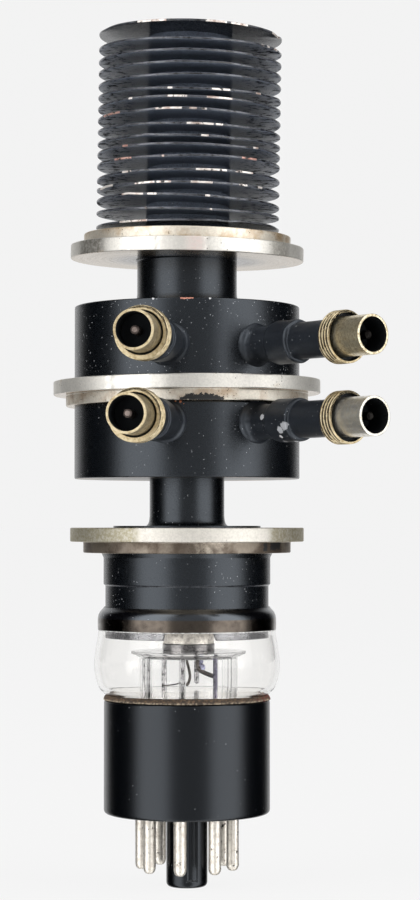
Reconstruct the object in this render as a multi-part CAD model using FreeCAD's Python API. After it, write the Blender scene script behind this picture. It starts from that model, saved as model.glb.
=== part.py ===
"""Two-cavity klystron with an octal plug base, four coaxial ports and a finned radiator.

The origin is the centre of the pin circle on the underside of the base. +Z runs up the
tube to the radiator and -Y is the front. Lengths are millimetres and angles are degrees.
"""
import FreeCAD
import Part
import math
import os

V = FreeCAD.Vector
UP = V(0, 0, 1)
CENTRE = V(0, 0, 0)

# Octal base
PIN_CIRCLE_D = 17.45
PIN_COUNT = 8
PIN_D = 2.36
PIN_SHANK_D = 3.0
PIN_LENGTH = 11.2
PIN_ROOT = 2.2
PIN_TIP_ROUND = 0.9
FIRST_PIN_TURN = -8.4
KEY_D = 7.8
KEY_LENGTH = 14.3
KEY_EDGE_ROUND = 1.0
KEY_RIDGE_WIDTH = 2.4
KEY_RIDGE_HEIGHT = 0.45
KEY_RIDGE_END_GAP = 1.5
BASE_D = 31.5
BASE_HEIGHT = 21.45
BASE_WALL = 1.5
BASE_FLOOR = 3.2
BASE_FOOT_ROUND = 0.8

# Cement and glass bulb
CEMENT_HEIGHT = 0.9
CEMENT_SPREAD = 0.12
CEMENT_FILM = 0.15
GLASS_WALL = 0.9
GLASS_LIP = 0.2
GLASS_FOOT_DROP = 3.0
# Bulb's outline from its foot upward: spread beyond the foot, rise above the base
GLASS_BELLY = [(1.8, 1.3), (2.85, 2.8), (3.55, 6.1)]
# Above the belly: spread beyond the metal cup, rise above the base
GLASS_SHOULDER = [(1.85, 9.6), (1.38, 12.4), (1.3, 15.8)]
GLASS_HEIGHT = 17.45

# Glass foot and the electron gun on it
STEM_FLARE = 3.85
STEM_WALL = 1.2
STEM_RISE = 8.75
STEM_FLARE_WALL = 0.8
STEM_LIP_SPREAD = 1.2
STEM_LIP_DROP = 1.1
STEM_LIP_EDGE = 0.3
LEAD_D = 0.8
LEAD_COUNT = 7
LEAD_CIRCLE_D = 15.4
GUN_DISC_D = 21.8
GUN_DISC_THICKNESS = 0.4
GUN_DISC_BORE = 6.4
CATHODE_D = 9.4
CATHODE_WALL = 0.35
CATHODE_RISE = 4.6
FOCUS_CUP_D = 15.0
FOCUS_CUP_WALL = 0.45
FOCUS_CUP_SINK = 0.7
FOCUS_CUP_HEIGHT = 8.0
HEATER_WIRE_D = 0.5
HEATER_LEG_PITCH = 1.5
HEATER_LEG_COUNT = 4
HEATER_FOOT_GAP = 2.8
HEATER_TOP_GAP = 2.0

# Metal cup between the glass and the lowest flange
CUP_D = 31.0
CUP_BAND_STEP = 0.35
CUP_BAND_RISE = 4.1
CUP_LIP_FLARE = 0.45
CUP_LIP_HEIGHT = 0.9
CUP_WALL = 0.9
CUP_HEIGHT = 10.3
CUP_SKIRT_DROP = 6.2

# Flanges: the lower and upper ones are one pattern, turned over
FLANGE_D = 44.4
FLANGE_RIM_THICKNESS = 2.65
FLANGE_STEP_D = 39.4
FLANGE_STEP_THICKNESS = 2.1
MIDDLE_FLANGE_D = 50.8
MIDDLE_STEP_D = 46.1
MIDDLE_STEP_THICKNESS = 2.1
EDGE_BREAK = 0.25
MIDDLE_RIM_TILT = 0.5

# Cavities and the necks beside them
LOWER_NECK_D = 14.2
LOWER_NECK_LENGTH = 9.65
LOWER_NECK_FOOT_D = 28.0
LOWER_NECK_FOOT_THICKNESS = 0.35
UPPER_NECK_D = 19.0
UPPER_NECK_LENGTH = 9.45
UPPER_NECK_FOOT_D = 21.0
UPPER_NECK_FOOT_THICKNESS = 0.9
NECK_WALL = 1.2
CAVITY_D = 42.8
CAVITY_HEIGHT = 13.5
CAVITY_WALL = 1.2
DIAPHRAGM_THICKNESS = 0.5
CAVITY_EDGE_ROUND = 0.4
POST_MOUTH_D = 7.0
BEAM_HOLE_D = 9.0
POST_WALL = 0.9
GRID_GAP = 1.6
GRID_THICKNESS = 0.3
GRID_BAR = 0.3
GRID_PITCH = 0.95
DRIFT_TUBE_D = 9.0

# Radiator
STACK_LEAN_SIDE = 0.9
STACK_LEAN_FRONT = 1.0
COLLECTOR_D = 15.9
COLLECTOR_WALL = 3.0
COLLECTOR_CAP = 4.0
COLLECTOR_CROWN = 1.1
FIN_D = 34.9
FIN_THICKNESS = 0.45
FIN_COUNT = 17
FIRST_FIN_GAP = 1.15
FIN_PITCH = 2.245
FIN_TILT_SIDE = 0.3
FIN_TILT_FRONT = 0.5
# Fins knocked out of line, by number from the bottom: extra side tilt, extra front tilt, rise
FIN_KNOCKS = {
    1: (-0.6, -0.3, 0.0),
    2: (0.3, 0.6, 0.15),
    3: (0.9, -0.9, 0.0),
    4: (0.15, -1.1, 0.05),
    5: (-0.75, -1.2, 0.05),
    6: (-0.75, -1.4, 0.4),
    7: (-0.25, -1.6, 0.25),
    9: (0.35, 0.1, -0.05),
    10: (0.0, -1.2, 0.0),
    11: (0.0, -1.2, 0.0),
    12: (0.05, 0.15, -0.2),
    13: (-0.8, -0.6, -0.1),
    17: (0.5, -1.1, 0.65),
}

# Coaxial ports, their bearings from the front and their lengths out from the cavity wall
UPPER_PORT_RISE = 5.65
LOWER_PORT_RISE = 9.75
PORT_TURNS = {"upper_left": -9.75, "upper_right": 37.05, "lower_left": -11.1, "lower_right": 37.5}
PORT_TUBE_D = 6.7
PORT_STUB_D = 6.4
PORT_TUBE_BORE_D = 5.2
PORT_FILLET_D = 7.8
PORT_FILLET_LENGTH = 1.0
PORT_FILLET_LIP = 0.3
PORT_SLEEVE_D = 7.9
PORT_STUB_LENGTH = 6.3
PORT_SLEEVE_LENGTH = 6.2
PORT_TUBE_LENGTH = 21.8
PORT_RING_D = 9.525
PORT_RING_LENGTH = 3.7
PORT_RING_GROOVE_D = 8.3
PORT_RING_GROOVE_DEPTH = 1.2
PORT_THREAD_COUNT = 4
PORT_THREAD_DEPTH = 0.28
PORT_THREAD_FLANK = 0.35
PORT_SPIGOT_D = 7.1
PORT_SPIGOT_ROOT_D = 7.5
PORT_BORE_D = 6.1
PORT_SPIGOT_LENGTH = 10.3
PORT_PIN_D = 1.5
PORT_PIN_RECESS = 1.0
PORT_PIN_CHAMFER = 0.3
PORT_BEAD_DEPTH = 3.0
PORT_BEAD_LENGTH = 2.4
LOOP_WIRE_D = 1.0
LOOP_DEPTH = 4.0
LOOP_RADIUS = 2.1
LOOP_SEAT_GAP = 0.01

# Heights that follow from the sizes above
CEMENT_TOP_Z = BASE_HEIGHT + CEMENT_HEIGHT
GLASS_FOOT_R = BASE_D / 2 - BASE_WALL - CEMENT_FILM
GLASS_FOOT_Z = BASE_HEIGHT - GLASS_FOOT_DROP
CUP_FOOT_Z = BASE_HEIGHT + GLASS_HEIGHT
CUP_BAND_Z = CUP_FOOT_Z + CUP_BAND_RISE
STEM_TOP_Z = BASE_HEIGHT + STEM_RISE
GUN_DISC_Z = STEM_TOP_Z
CATHODE_TOP_Z = CUP_FOOT_Z + CATHODE_RISE
FOCUS_CUP_Z = CUP_FOOT_Z - FOCUS_CUP_SINK
HEATER_FOOT_Z = STEM_TOP_Z + HEATER_FOOT_GAP
HEATER_TOP_Z = CATHODE_TOP_Z - HEATER_TOP_GAP
LOWER_FLANGE_Z = CUP_FOOT_Z + CUP_HEIGHT
LOWER_RIM_Z = LOWER_FLANGE_Z + FLANGE_STEP_THICKNESS
LOWER_NECK_Z = LOWER_RIM_Z + FLANGE_RIM_THICKNESS
LOWER_CAVITY_Z = LOWER_NECK_Z + LOWER_NECK_LENGTH
MIDDLE_FLANGE_Z = LOWER_CAVITY_Z + CAVITY_HEIGHT
MIDDLE_RIM_Z = MIDDLE_FLANGE_Z + MIDDLE_STEP_THICKNESS
UPPER_CAVITY_Z = MIDDLE_RIM_Z + FLANGE_RIM_THICKNESS
UPPER_NECK_Z = UPPER_CAVITY_Z + CAVITY_HEIGHT
UPPER_FLANGE_Z = UPPER_NECK_Z + UPPER_NECK_LENGTH
UPPER_STEP_Z = UPPER_FLANGE_Z + FLANGE_RIM_THICKNESS
RADIATOR_Z = UPPER_STEP_Z + FLANGE_STEP_THICKNESS
FIRST_FIN_Z = RADIATOR_Z + FIRST_FIN_GAP
LAST_FIN_Z = FIRST_FIN_Z + (FIN_COUNT - 1) * FIN_PITCH
CAVITY_WALL_R = CAVITY_D / 2
CAVITY_BORE_R = CAVITY_WALL_R - CAVITY_WALL
POST_HEIGHT = (CAVITY_HEIGHT - DIAPHRAGM_THICKNESS - GRID_GAP) / 2
STACK_FOOT = V(0, 0, UPPER_FLANGE_Z)
PORT_SLEEVE_REACH = CAVITY_WALL_R + PORT_STUB_LENGTH
PORT_SHOULDER_REACH = CAVITY_WALL_R + PORT_TUBE_LENGTH
PORT_TIP_REACH = PORT_SHOULDER_REACH + PORT_SPIGOT_LENGTH
PORT_BEAD_REACH = PORT_SHOULDER_REACH + PORT_BEAD_DEPTH
LOOP_REACH = CAVITY_BORE_R - LOOP_DEPTH
UPPER_PORT_Z = UPPER_CAVITY_Z + UPPER_PORT_RISE
LOWER_PORT_Z = LOWER_CAVITY_Z + LOWER_PORT_RISE
PORT_HEIGHTS = {
    "upper_left": UPPER_PORT_Z,
    "upper_right": UPPER_PORT_Z,
    "lower_left": LOWER_PORT_Z,
    "lower_right": LOWER_PORT_Z,
}


def cylinder(diameter, height, z):
    """Solid cylinder on the tube's axis, from z upward."""
    return Part.makeCylinder(diameter / 2, height, V(0, 0, z), UP)


def ring(outer_d, inner_d, height, z):
    """Ring on the tube's axis, from z upward."""
    return cylinder(outer_d, height, z).cut(cylinder(inner_d, height, z))


def turned(points):
    """Solid of revolution about the axis from (radius, height) corners."""
    corners = [V(r, 0, z) for r, z in points]
    face = Part.Face(Part.makePolygon(corners + [corners[0]]))
    return face.revolve(CENTRE, UP, 360)


def round_edges(shape, radius, wanted):
    """Fillet the edges that wanted(edge) picks."""
    edges = [edge for edge in shape.Edges if wanted(edge)]
    return shape.makeFillet(radius, edges)


def is_circle(edge, diameter, z):
    """True for a level circle of this diameter at this height."""
    curve = edge.Curve
    if not isinstance(curve, Part.Circle):
        return False
    same_size = abs(curve.Radius - diameter / 2) < 1e-4
    return same_size and abs(curve.Center.z - z) < 1e-4


def around(shape, turn):
    """Copy of a shape turned about the tube's axis."""
    copy = shape.copy()
    copy.rotate(CENTRE, UP, turn)
    return copy


def leaned(shape):
    """Tilt a piece above the upper neck with the rest of the leaning stack."""
    shape.rotate(STACK_FOOT, V(0, 1, 0), STACK_LEAN_SIDE)
    shape.rotate(STACK_FOOT, V(1, 0, 0), STACK_LEAN_FRONT)
    return shape


def base_shell():
    """Moulded cup with the hollow locating key under it."""
    body = cylinder(BASE_D, BASE_HEIGHT, 0)
    body = round_edges(body, BASE_FOOT_ROUND, lambda e: is_circle(e, BASE_D, 0))
    hollow_d = BASE_D - 2 * BASE_WALL
    body = body.cut(cylinder(hollow_d, BASE_HEIGHT - BASE_FLOOR, BASE_FLOOR))
    key = cylinder(KEY_D, KEY_LENGTH + BASE_FLOOR / 2, -KEY_LENGTH)
    key = round_edges(key, KEY_EDGE_ROUND, lambda e: is_circle(e, KEY_D, -KEY_LENGTH))
    ridge_reach = KEY_D / 2 + KEY_RIDGE_HEIGHT
    ridge = Part.makeBox(
        KEY_RIDGE_WIDTH,
        ridge_reach,
        KEY_LENGTH - KEY_RIDGE_END_GAP + BASE_FLOOR / 2,
        V(-KEY_RIDGE_WIDTH / 2, -ridge_reach, KEY_RIDGE_END_GAP - KEY_LENGTH),
    )
    midway = FIRST_PIN_TURN + 180 / PIN_COUNT
    body = body.fuse([key, around(ridge, midway)])
    for hole in pin_places(lambda place: Part.makeCylinder(PIN_SHANK_D / 2, BASE_FLOOR, place, UP)):
        body = body.cut(hole)
    return body.removeSplitter()


def pin_places(make):
    """Shapes made at each pin's centre on the underside of the base."""
    shapes = []
    for index in range(PIN_COUNT):
        turn = math.radians(FIRST_PIN_TURN + index * 360 / PIN_COUNT)
        radius = PIN_CIRCLE_D / 2
        shapes.append(make(V(radius * math.sin(turn), -radius * math.cos(turn), 0)))
    return shapes


def base_pin(place):
    """One hollow-formed pin with a soldered, rounded tip."""
    pin = Part.makeCylinder(PIN_D / 2, PIN_LENGTH, place - V(0, 0, PIN_LENGTH), UP)
    pin = round_edges(pin, PIN_TIP_ROUND, lambda e: is_circle(e, PIN_D, -PIN_LENGTH))
    shank = Part.makeCylinder(PIN_SHANK_D / 2, BASE_FLOOR + PIN_ROOT, place, UP)
    return pin.fuse(shank)


def base_pins():
    """Eight identical pins."""
    return Part.makeCompound(pin_places(base_pin))


def base_cement():
    """Ring of cement that holds the glass in the base and squeezes out over its rim."""
    bore_r = BASE_D / 2 - BASE_WALL
    outline = [
        (GLASS_FOOT_R - GLASS_WALL / 2, GLASS_FOOT_Z),
        (bore_r, GLASS_FOOT_Z),
        (bore_r, BASE_HEIGHT),
        (BASE_D / 2 + CEMENT_SPREAD, BASE_HEIGHT),
        (BASE_D / 2 - CEMENT_SPREAD, CEMENT_TOP_Z),
        (GLASS_FOOT_R - GLASS_WALL / 2, CEMENT_TOP_Z),
    ]
    return turned(outline).cut(bulb(0))


def bulb(inset):
    """Revolved form of the glass bulb, shrunk all round by the inset."""
    foot_r = GLASS_FOOT_R - inset
    top_r = CUP_D / 2 + GLASS_LIP - inset
    neck = V(foot_r, 0, BASE_HEIGHT)
    points = [neck]
    points += [V(foot_r + spread, 0, BASE_HEIGHT + rise) for spread, rise in GLASS_BELLY]
    shoulder_r = CUP_D / 2 - inset
    points += [V(shoulder_r + spread, 0, BASE_HEIGHT + rise) for spread, rise in GLASS_SHOULDER]
    points.append(V(top_r, 0, CUP_FOOT_Z))
    curve = Part.BSplineCurve()
    curve.interpolate(points)
    outline = [
        Part.makeLine(V(foot_r, 0, GLASS_FOOT_Z), neck),
        curve.toShape(),
        Part.makeLine(V(top_r, 0, CUP_FOOT_Z), V(0, 0, CUP_FOOT_Z)),
        Part.makeLine(V(0, 0, CUP_FOOT_Z), V(0, 0, GLASS_FOOT_Z)),
        Part.makeLine(V(0, 0, GLASS_FOOT_Z), V(foot_r, 0, GLASS_FOOT_Z)),
    ]
    return Part.Face(Part.Wire(outline)).revolve(CENTRE, UP, 360)


def glass_envelope():
    """Blown bulb, open at its foot and where the metal cup is sealed to it."""
    skirt_space = cylinder(CUP_D, CUP_SKIRT_DROP, CUP_FOOT_Z - CUP_SKIRT_DROP)
    return bulb(0).cut([bulb(GLASS_WALL), skirt_space])


def glass_stem():
    """Pressed glass foot: a tube flared out to the bulb's foot, with a lip round its flat top."""
    flare_r = GLASS_FOOT_R - GLASS_WALL
    outer_r = flare_r - STEM_FLARE
    flare_top = GLASS_FOOT_Z + STEM_FLARE_WALL
    outline = [
        (0, STEM_TOP_Z - STEM_WALL),
        (outer_r - STEM_WALL, STEM_TOP_Z - STEM_WALL),
        (outer_r - STEM_WALL, GLASS_FOOT_Z),
        (flare_r, GLASS_FOOT_Z),
        (flare_r, flare_top),
        (outer_r, flare_top),
        (outer_r, STEM_TOP_Z - STEM_LIP_DROP),
        (outer_r + STEM_LIP_SPREAD, STEM_TOP_Z - STEM_LIP_EDGE),
        (outer_r + STEM_LIP_SPREAD, STEM_TOP_Z),
        (0, STEM_TOP_Z),
    ]
    stem = turned(outline)
    for place in lead_places():
        stem = stem.cut(Part.makeCylinder(LEAD_D / 2, STEM_TOP_Z, place, UP))
    return stem


def lead_places():
    """Centre of each support rod, beside a pin, on the base's underside plane."""
    places = []
    for index in range(LEAD_COUNT):
        turn = math.radians(FIRST_PIN_TURN + index * 360 / PIN_COUNT)
        radius = LEAD_CIRCLE_D / 2
        places.append(V(radius * math.sin(turn), -radius * math.cos(turn), 0))
    return places


def stem_leads():
    """Stiff wires through the stem that carry the gun disc."""
    foot_z = BASE_FLOOR + PIN_ROOT
    length = GUN_DISC_Z - foot_z
    feet = [place + V(0, 0, foot_z) for place in lead_places()]
    return Part.makeCompound([Part.makeCylinder(LEAD_D / 2, length, foot, UP) for foot in feet])


def gun_disc():
    """Thin disc that carries the cathode."""
    return ring(GUN_DISC_D, GUN_DISC_BORE, GUN_DISC_THICKNESS, GUN_DISC_Z)


def cathode():
    """Sleeve standing on the gun disc, closed by the emitting face."""
    foot_z = GUN_DISC_Z + GUN_DISC_THICKNESS
    inner_d = CATHODE_D - 2 * CATHODE_WALL
    sleeve = cylinder(CATHODE_D, CATHODE_TOP_Z - foot_z, foot_z)
    return sleeve.cut(cylinder(inner_d, CATHODE_TOP_Z - CATHODE_WALL - foot_z, foot_z))


def heater():
    """Folded wire inside the cathode, its outer legs running down to the glass foot."""
    bend_r = HEATER_LEG_PITCH / 2
    first_x = -(HEATER_LEG_COUNT - 1) * bend_r
    solids = []
    for index in range(HEATER_LEG_COUNT):
        x = first_x + index * HEATER_LEG_PITCH
        outer_leg = index in (0, HEATER_LEG_COUNT - 1)
        foot_z = STEM_TOP_Z if outer_leg else HEATER_FOOT_Z
        height = HEATER_TOP_Z - foot_z
        solids.append(Part.makeCylinder(HEATER_WIRE_D / 2, height, V(x, 0, foot_z), UP))
        if index < HEATER_LEG_COUNT - 1:
            at_top = index % 2 == 0
            bend_z = HEATER_TOP_Z if at_top else HEATER_FOOT_Z
            solids.append(half_ring(V(x + bend_r, 0, bend_z), bend_r, HEATER_WIRE_D, V(1, 0, 0), at_top))
    return solids[0].fuse(solids[1:]).removeSplitter()


def half_ring(centre, bend_r, wire_d, side, upward):
    """Half turn of round wire, its ends on the side vector and its bend up or down."""
    rise = UP if upward else -UP
    bend = Part.makeTorus(bend_r, wire_d / 2, CENTRE, UP, 0, 360, 180)
    turn = FreeCAD.Rotation(side, rise, side.cross(rise), "XYZ")
    bend.Placement = FreeCAD.Placement(centre, turn)
    return bend


def focus_cup():
    """Beam-forming cup around the cathode's face, seated on the metal cup's step."""
    outer = cylinder(FOCUS_CUP_D, FOCUS_CUP_HEIGHT, FOCUS_CUP_Z)
    inner_d = FOCUS_CUP_D - 2 * FOCUS_CUP_WALL
    hollow = cylinder(inner_d, FOCUS_CUP_HEIGHT - FOCUS_CUP_WALL, FOCUS_CUP_Z + FOCUS_CUP_WALL)
    floor_hole = cylinder(CATHODE_D, FOCUS_CUP_WALL, FOCUS_CUP_Z)
    return outer.cut(hollow).cut(floor_hole)


def metal_cup():
    """Drawn cup from its skirt inside the glass up to the lower flange, with a band and a lip."""
    skirt_z = CUP_FOOT_Z - CUP_SKIRT_DROP
    lip_z = LOWER_FLANGE_Z - CUP_LIP_HEIGHT
    band_r = CUP_D / 2 + CUP_BAND_STEP
    inner_r = CUP_D / 2 - CUP_WALL
    beam_r = BEAM_HOLE_D / 2
    roof_z = LOWER_FLANGE_Z - CUP_WALL
    outline = [
        (inner_r, skirt_z),
        (CUP_D / 2, skirt_z),
        (CUP_D / 2, CUP_BAND_Z),
        (band_r, CUP_BAND_Z + EDGE_BREAK),
        (band_r, lip_z),
        (band_r + CUP_LIP_FLARE, LOWER_FLANGE_Z),
        (beam_r, LOWER_FLANGE_Z),
        (beam_r, roof_z),
        (inner_r, roof_z),
    ]
    return turned(outline)


def stepped_flange(rim_d, step_d, step_height, bore_d):
    """Turned flange standing on its smaller step, with broken edges."""
    total = step_height + FLANGE_RIM_THICKNESS
    outline = [
        (bore_d / 2, 0),
        (step_d / 2 - EDGE_BREAK, 0),
        (step_d / 2, EDGE_BREAK),
        (step_d / 2, step_height),
        (rim_d / 2 - EDGE_BREAK, step_height),
        (rim_d / 2, step_height + EDGE_BREAK),
        (rim_d / 2, total - EDGE_BREAK),
        (rim_d / 2 - EDGE_BREAK, total),
        (bore_d / 2, total),
    ]
    return turned(outline)


def lower_flange():
    """Lowest flange, its step toward the cup."""
    shape = stepped_flange(FLANGE_D, FLANGE_STEP_D, FLANGE_STEP_THICKNESS, BEAM_HOLE_D)
    shape.translate(V(0, 0, LOWER_FLANGE_Z))
    return shape


def upper_flange():
    """Same pattern turned over, its step toward the radiator."""
    shape = stepped_flange(FLANGE_D, FLANGE_STEP_D, FLANGE_STEP_THICKNESS, COLLECTOR_D)
    shape.rotate(CENTRE, V(1, 0, 0), 180)
    shape.translate(V(0, 0, RADIATOR_Z))
    return leaned(shape)


def middle_flange():
    """Wide flange between the cavities, its rim bent a little out of level."""
    rim = stepped_flange(MIDDLE_FLANGE_D, MIDDLE_STEP_D, MIDDLE_STEP_THICKNESS, DRIFT_TUBE_D)
    thickness = UPPER_CAVITY_Z - MIDDLE_FLANGE_Z
    rim.rotate(V(0, 0, thickness / 2), V(0, 1, 0), -MIDDLE_RIM_TILT)
    rim.translate(V(0, 0, MIDDLE_FLANGE_Z))
    rim = rim.cut(cylinder(CAVITY_D, 3 * thickness, MIDDLE_FLANGE_Z - thickness))
    hub = ring(CAVITY_D, DRIFT_TUBE_D, thickness, MIDDLE_FLANGE_Z)
    return rim.fuse(hub).removeSplitter()


def diaphragm_post(neck_d, foot_d, foot_thickness, length):
    """Neck standing at z = 0, with its post running on into the cavity above it."""
    post_top = length + DIAPHRAGM_THICKNESS + POST_HEIGHT
    inner_d = neck_d - 2 * NECK_WALL
    mouth_d = POST_MOUTH_D
    post_d = mouth_d + 2 * POST_WALL
    outline = [
        (inner_d / 2, 0),
        (foot_d / 2, 0),
        (foot_d / 2, foot_thickness),
        (neck_d / 2 + foot_thickness, foot_thickness),
        (neck_d / 2, 2 * foot_thickness),
        (neck_d / 2, length),
        (neck_d / 2 - NECK_WALL, length),
        (post_d / 2, post_top),
        (mouth_d / 2, post_top),
        (mouth_d / 2, length),
        (inner_d / 2, length - NECK_WALL),
    ]
    return turned(outline)


def lower_neck():
    """Neck and post of the lower cavity."""
    shape = diaphragm_post(LOWER_NECK_D, LOWER_NECK_FOOT_D, LOWER_NECK_FOOT_THICKNESS, LOWER_NECK_LENGTH)
    shape.translate(V(0, 0, LOWER_NECK_Z))
    return shape


def upper_neck():
    """Neck and post of the upper cavity, its top cut to the leaning flange."""
    spare = EDGE_BREAK
    length = UPPER_NECK_LENGTH + spare
    shape = diaphragm_post(UPPER_NECK_D, UPPER_NECK_D, EDGE_BREAK, length)
    shape.rotate(CENTRE, V(1, 0, 0), 180)
    shape.translate(V(0, 0, UPPER_FLANGE_Z + spare))
    shape = shape.cut(leaned(cylinder(FLANGE_D, UPPER_NECK_LENGTH, UPPER_FLANGE_Z)))
    collar = ring(UPPER_NECK_FOOT_D, UPPER_NECK_D, UPPER_NECK_FOOT_THICKNESS, UPPER_NECK_Z)
    return shape.fuse(collar).removeSplitter()


def cavity_shell(neck_d):
    """Cup with its thin diaphragm down at z = 0, open where the neck goes through."""
    shell = cylinder(CAVITY_D, CAVITY_HEIGHT, 0)
    shell = round_edges(shell, CAVITY_EDGE_ROUND, lambda e: is_circle(e, CAVITY_D, 0))
    hollow_d = CAVITY_D - 2 * CAVITY_WALL
    hollow = cylinder(hollow_d, CAVITY_HEIGHT - DIAPHRAGM_THICKNESS, DIAPHRAGM_THICKNESS)
    post_r = neck_d / 2 - NECK_WALL
    return shell.cut(hollow).cut(cylinder(2 * post_r, DIAPHRAGM_THICKNESS, 0))


def lower_cavity():
    """Cavity shell with its diaphragm down and two port holes."""
    shell = cavity_shell(LOWER_NECK_D)
    shell.translate(V(0, 0, LOWER_CAVITY_Z))
    return with_port_holes(shell, "lower")


def upper_cavity():
    """Cavity shell with its diaphragm up and two port holes."""
    shell = cavity_shell(UPPER_NECK_D)
    shell.rotate(CENTRE, V(1, 0, 0), 180)
    shell.translate(V(0, 0, UPPER_NECK_Z))
    return with_port_holes(shell, "upper")


def with_port_holes(shell, level):
    """Cut the stub's hole for each port at this level."""
    for name, turn in PORT_TURNS.items():
        if name.startswith(level):
            hole = along_port(PORT_STUB_D, CAVITY_WALL_R - PORT_FILLET_D / 2, PORT_FILLET_D)
            shell = shell.cut(place_port(hole, PORT_HEIGHTS[name], turn))
    return shell


def drift_tube():
    """Tube through the middle flange that joins the two cavities."""
    foot_z = MIDDLE_FLANGE_Z - POST_HEIGHT
    height = UPPER_CAVITY_Z + POST_HEIGHT - foot_z
    return ring(DRIFT_TUBE_D, DRIFT_TUBE_D - 2 * POST_WALL, height, foot_z)


def grid(z):
    """Round frame with parallel bars across the beam."""
    outer_d = POST_MOUTH_D + 2 * POST_WALL
    plate = cylinder(outer_d, GRID_THICKNESS, z)
    half_count = int(POST_MOUTH_D / 2 / GRID_PITCH)
    for index in range(-half_count, half_count + 1):
        centre_y = index * GRID_PITCH
        slot_width = GRID_PITCH - GRID_BAR
        far_edge = abs(centre_y) + slot_width / 2
        if far_edge < POST_MOUTH_D / 2:
            half_span = math.sqrt((POST_MOUTH_D / 2) ** 2 - far_edge ** 2)
            corner = V(-half_span, centre_y - slot_width / 2, z)
            plate = plate.cut(Part.makeBox(2 * half_span, slot_width, GRID_THICKNESS, corner))
    return plate


def cavity_grids():
    """Grids on the posts and on both ends of the drift tube."""
    post_top = LOWER_CAVITY_Z + DIAPHRAGM_THICKNESS + POST_HEIGHT
    drift_foot = MIDDLE_FLANGE_Z - POST_HEIGHT
    drift_top = UPPER_CAVITY_Z + POST_HEIGHT
    post_foot = UPPER_NECK_Z - DIAPHRAGM_THICKNESS - POST_HEIGHT
    heights = [post_top, drift_foot - GRID_THICKNESS, drift_top, post_foot - GRID_THICKNESS]
    return Part.makeCompound([grid(z) for z in heights])


def collector():
    """Thick closed tube that catches the beam and carries the fins."""
    top_z = LAST_FIN_Z + FIN_THICKNESS + COLLECTOR_CROWN
    outer = cylinder(COLLECTOR_D, top_z - UPPER_FLANGE_Z, UPPER_FLANGE_Z)
    outer = round_edges(outer, COLLECTOR_CROWN / 2, lambda e: is_circle(e, COLLECTOR_D, top_z))
    inner_d = COLLECTOR_D - 2 * COLLECTOR_WALL
    bore = cylinder(inner_d, top_z - COLLECTOR_CAP - UPPER_FLANGE_Z, UPPER_FLANGE_Z)
    return leaned(outer.cut(bore))


def fin(number):
    """One thin disc on the collector, counted from the bottom."""
    side, front, rise = FIN_KNOCKS.get(number, (0, 0, 0))
    z = FIRST_FIN_Z + (number - 1) * FIN_PITCH + rise
    disc = Part.makeCylinder(FIN_D / 2, FIN_THICKNESS)
    disc.rotate(CENTRE, V(0, 1, 0), FIN_TILT_SIDE + side)
    disc.rotate(CENTRE, V(1, 0, 0), FIN_TILT_FRONT + front)
    disc.translate(V(0, 0, z))
    return leaned(disc.cut(cylinder(COLLECTOR_D, 4 * FIN_PITCH, z - 2 * FIN_PITCH)))


def along_port(diameter, start, length):
    """Cylinder on a port's axis, built along -Y from the tube's axis."""
    return Part.makeCylinder(diameter / 2, length, V(0, -start, 0), V(0, -1, 0))


def port_turned(points):
    """Solid of revolution about a port's axis from (reach, radius) corners."""
    corners = [V(0, -reach, radius) for reach, radius in points]
    face = Part.Face(Part.makePolygon(corners + [corners[0]]))
    return face.revolve(CENTRE, V(0, 1, 0), 360)


def place_port(shape, z, turn):
    """Turn a port's piece to its bearing and lift it to its height."""
    placed = around(shape, turn)
    placed.translate(V(0, 0, z))
    return placed


def port_tube():
    """Outer tube from the cavity wall, with its solder fillet and collar."""
    bore_r = PORT_TUBE_BORE_D / 2
    wall = CAVITY_WALL_R
    collar_end = PORT_SLEEVE_REACH + PORT_SLEEVE_LENGTH
    outline = [
        (CAVITY_BORE_R, bore_r),
        (CAVITY_BORE_R, PORT_STUB_D / 2),
        (PORT_SLEEVE_REACH, PORT_STUB_D / 2),
        (PORT_SLEEVE_REACH, PORT_SLEEVE_D / 2 - EDGE_BREAK),
        (PORT_SLEEVE_REACH + EDGE_BREAK, PORT_SLEEVE_D / 2),
        (collar_end - EDGE_BREAK, PORT_SLEEVE_D / 2),
        (collar_end, PORT_SLEEVE_D / 2 - EDGE_BREAK),
        (collar_end, PORT_TUBE_D / 2),
        (PORT_SHOULDER_REACH, PORT_TUBE_D / 2),
        (PORT_SHOULDER_REACH, bore_r),
    ]
    tube = port_turned(outline)
    collar_r = PORT_FILLET_D / 2
    start = wall - collar_r ** 2 / wall
    fillet = port_turned([
        (start, bore_r),
        (start, collar_r),
        (wall + PORT_FILLET_LIP, collar_r),
        (wall + PORT_FILLET_LENGTH, PORT_STUB_D / 2),
        (wall + PORT_FILLET_LENGTH, bore_r),
    ])
    inside_wall = cylinder(CAVITY_D, 4 * PORT_FILLET_D, -2 * PORT_FILLET_D)
    return tube.fuse(fillet.cut(inside_wall)).removeSplitter()


def port_ring():
    """Threaded ring against the tube's shoulder, grooved in its outer face."""
    start = PORT_SHOULDER_REACH
    end = start + PORT_RING_LENGTH
    crest_r = PORT_RING_D / 2
    pitch = PORT_RING_LENGTH / PORT_THREAD_COUNT
    outline = [(start, PORT_SPIGOT_ROOT_D / 2)]
    for index in range(PORT_THREAD_COUNT):
        root = start + index * pitch
        outline.append((root, crest_r - PORT_THREAD_DEPTH))
        outline.append((root + pitch * PORT_THREAD_FLANK, crest_r))
        outline.append((root + pitch * (1 - PORT_THREAD_FLANK), crest_r))
    outline.append((end, crest_r - PORT_THREAD_DEPTH))
    outline.append((end, PORT_RING_GROOVE_D / 2))
    outline.append((end - PORT_RING_GROOVE_DEPTH, PORT_RING_GROOVE_D / 2))
    outline.append((end - PORT_RING_GROOVE_DEPTH, PORT_SPIGOT_ROOT_D / 2))
    return port_turned(outline)


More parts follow.
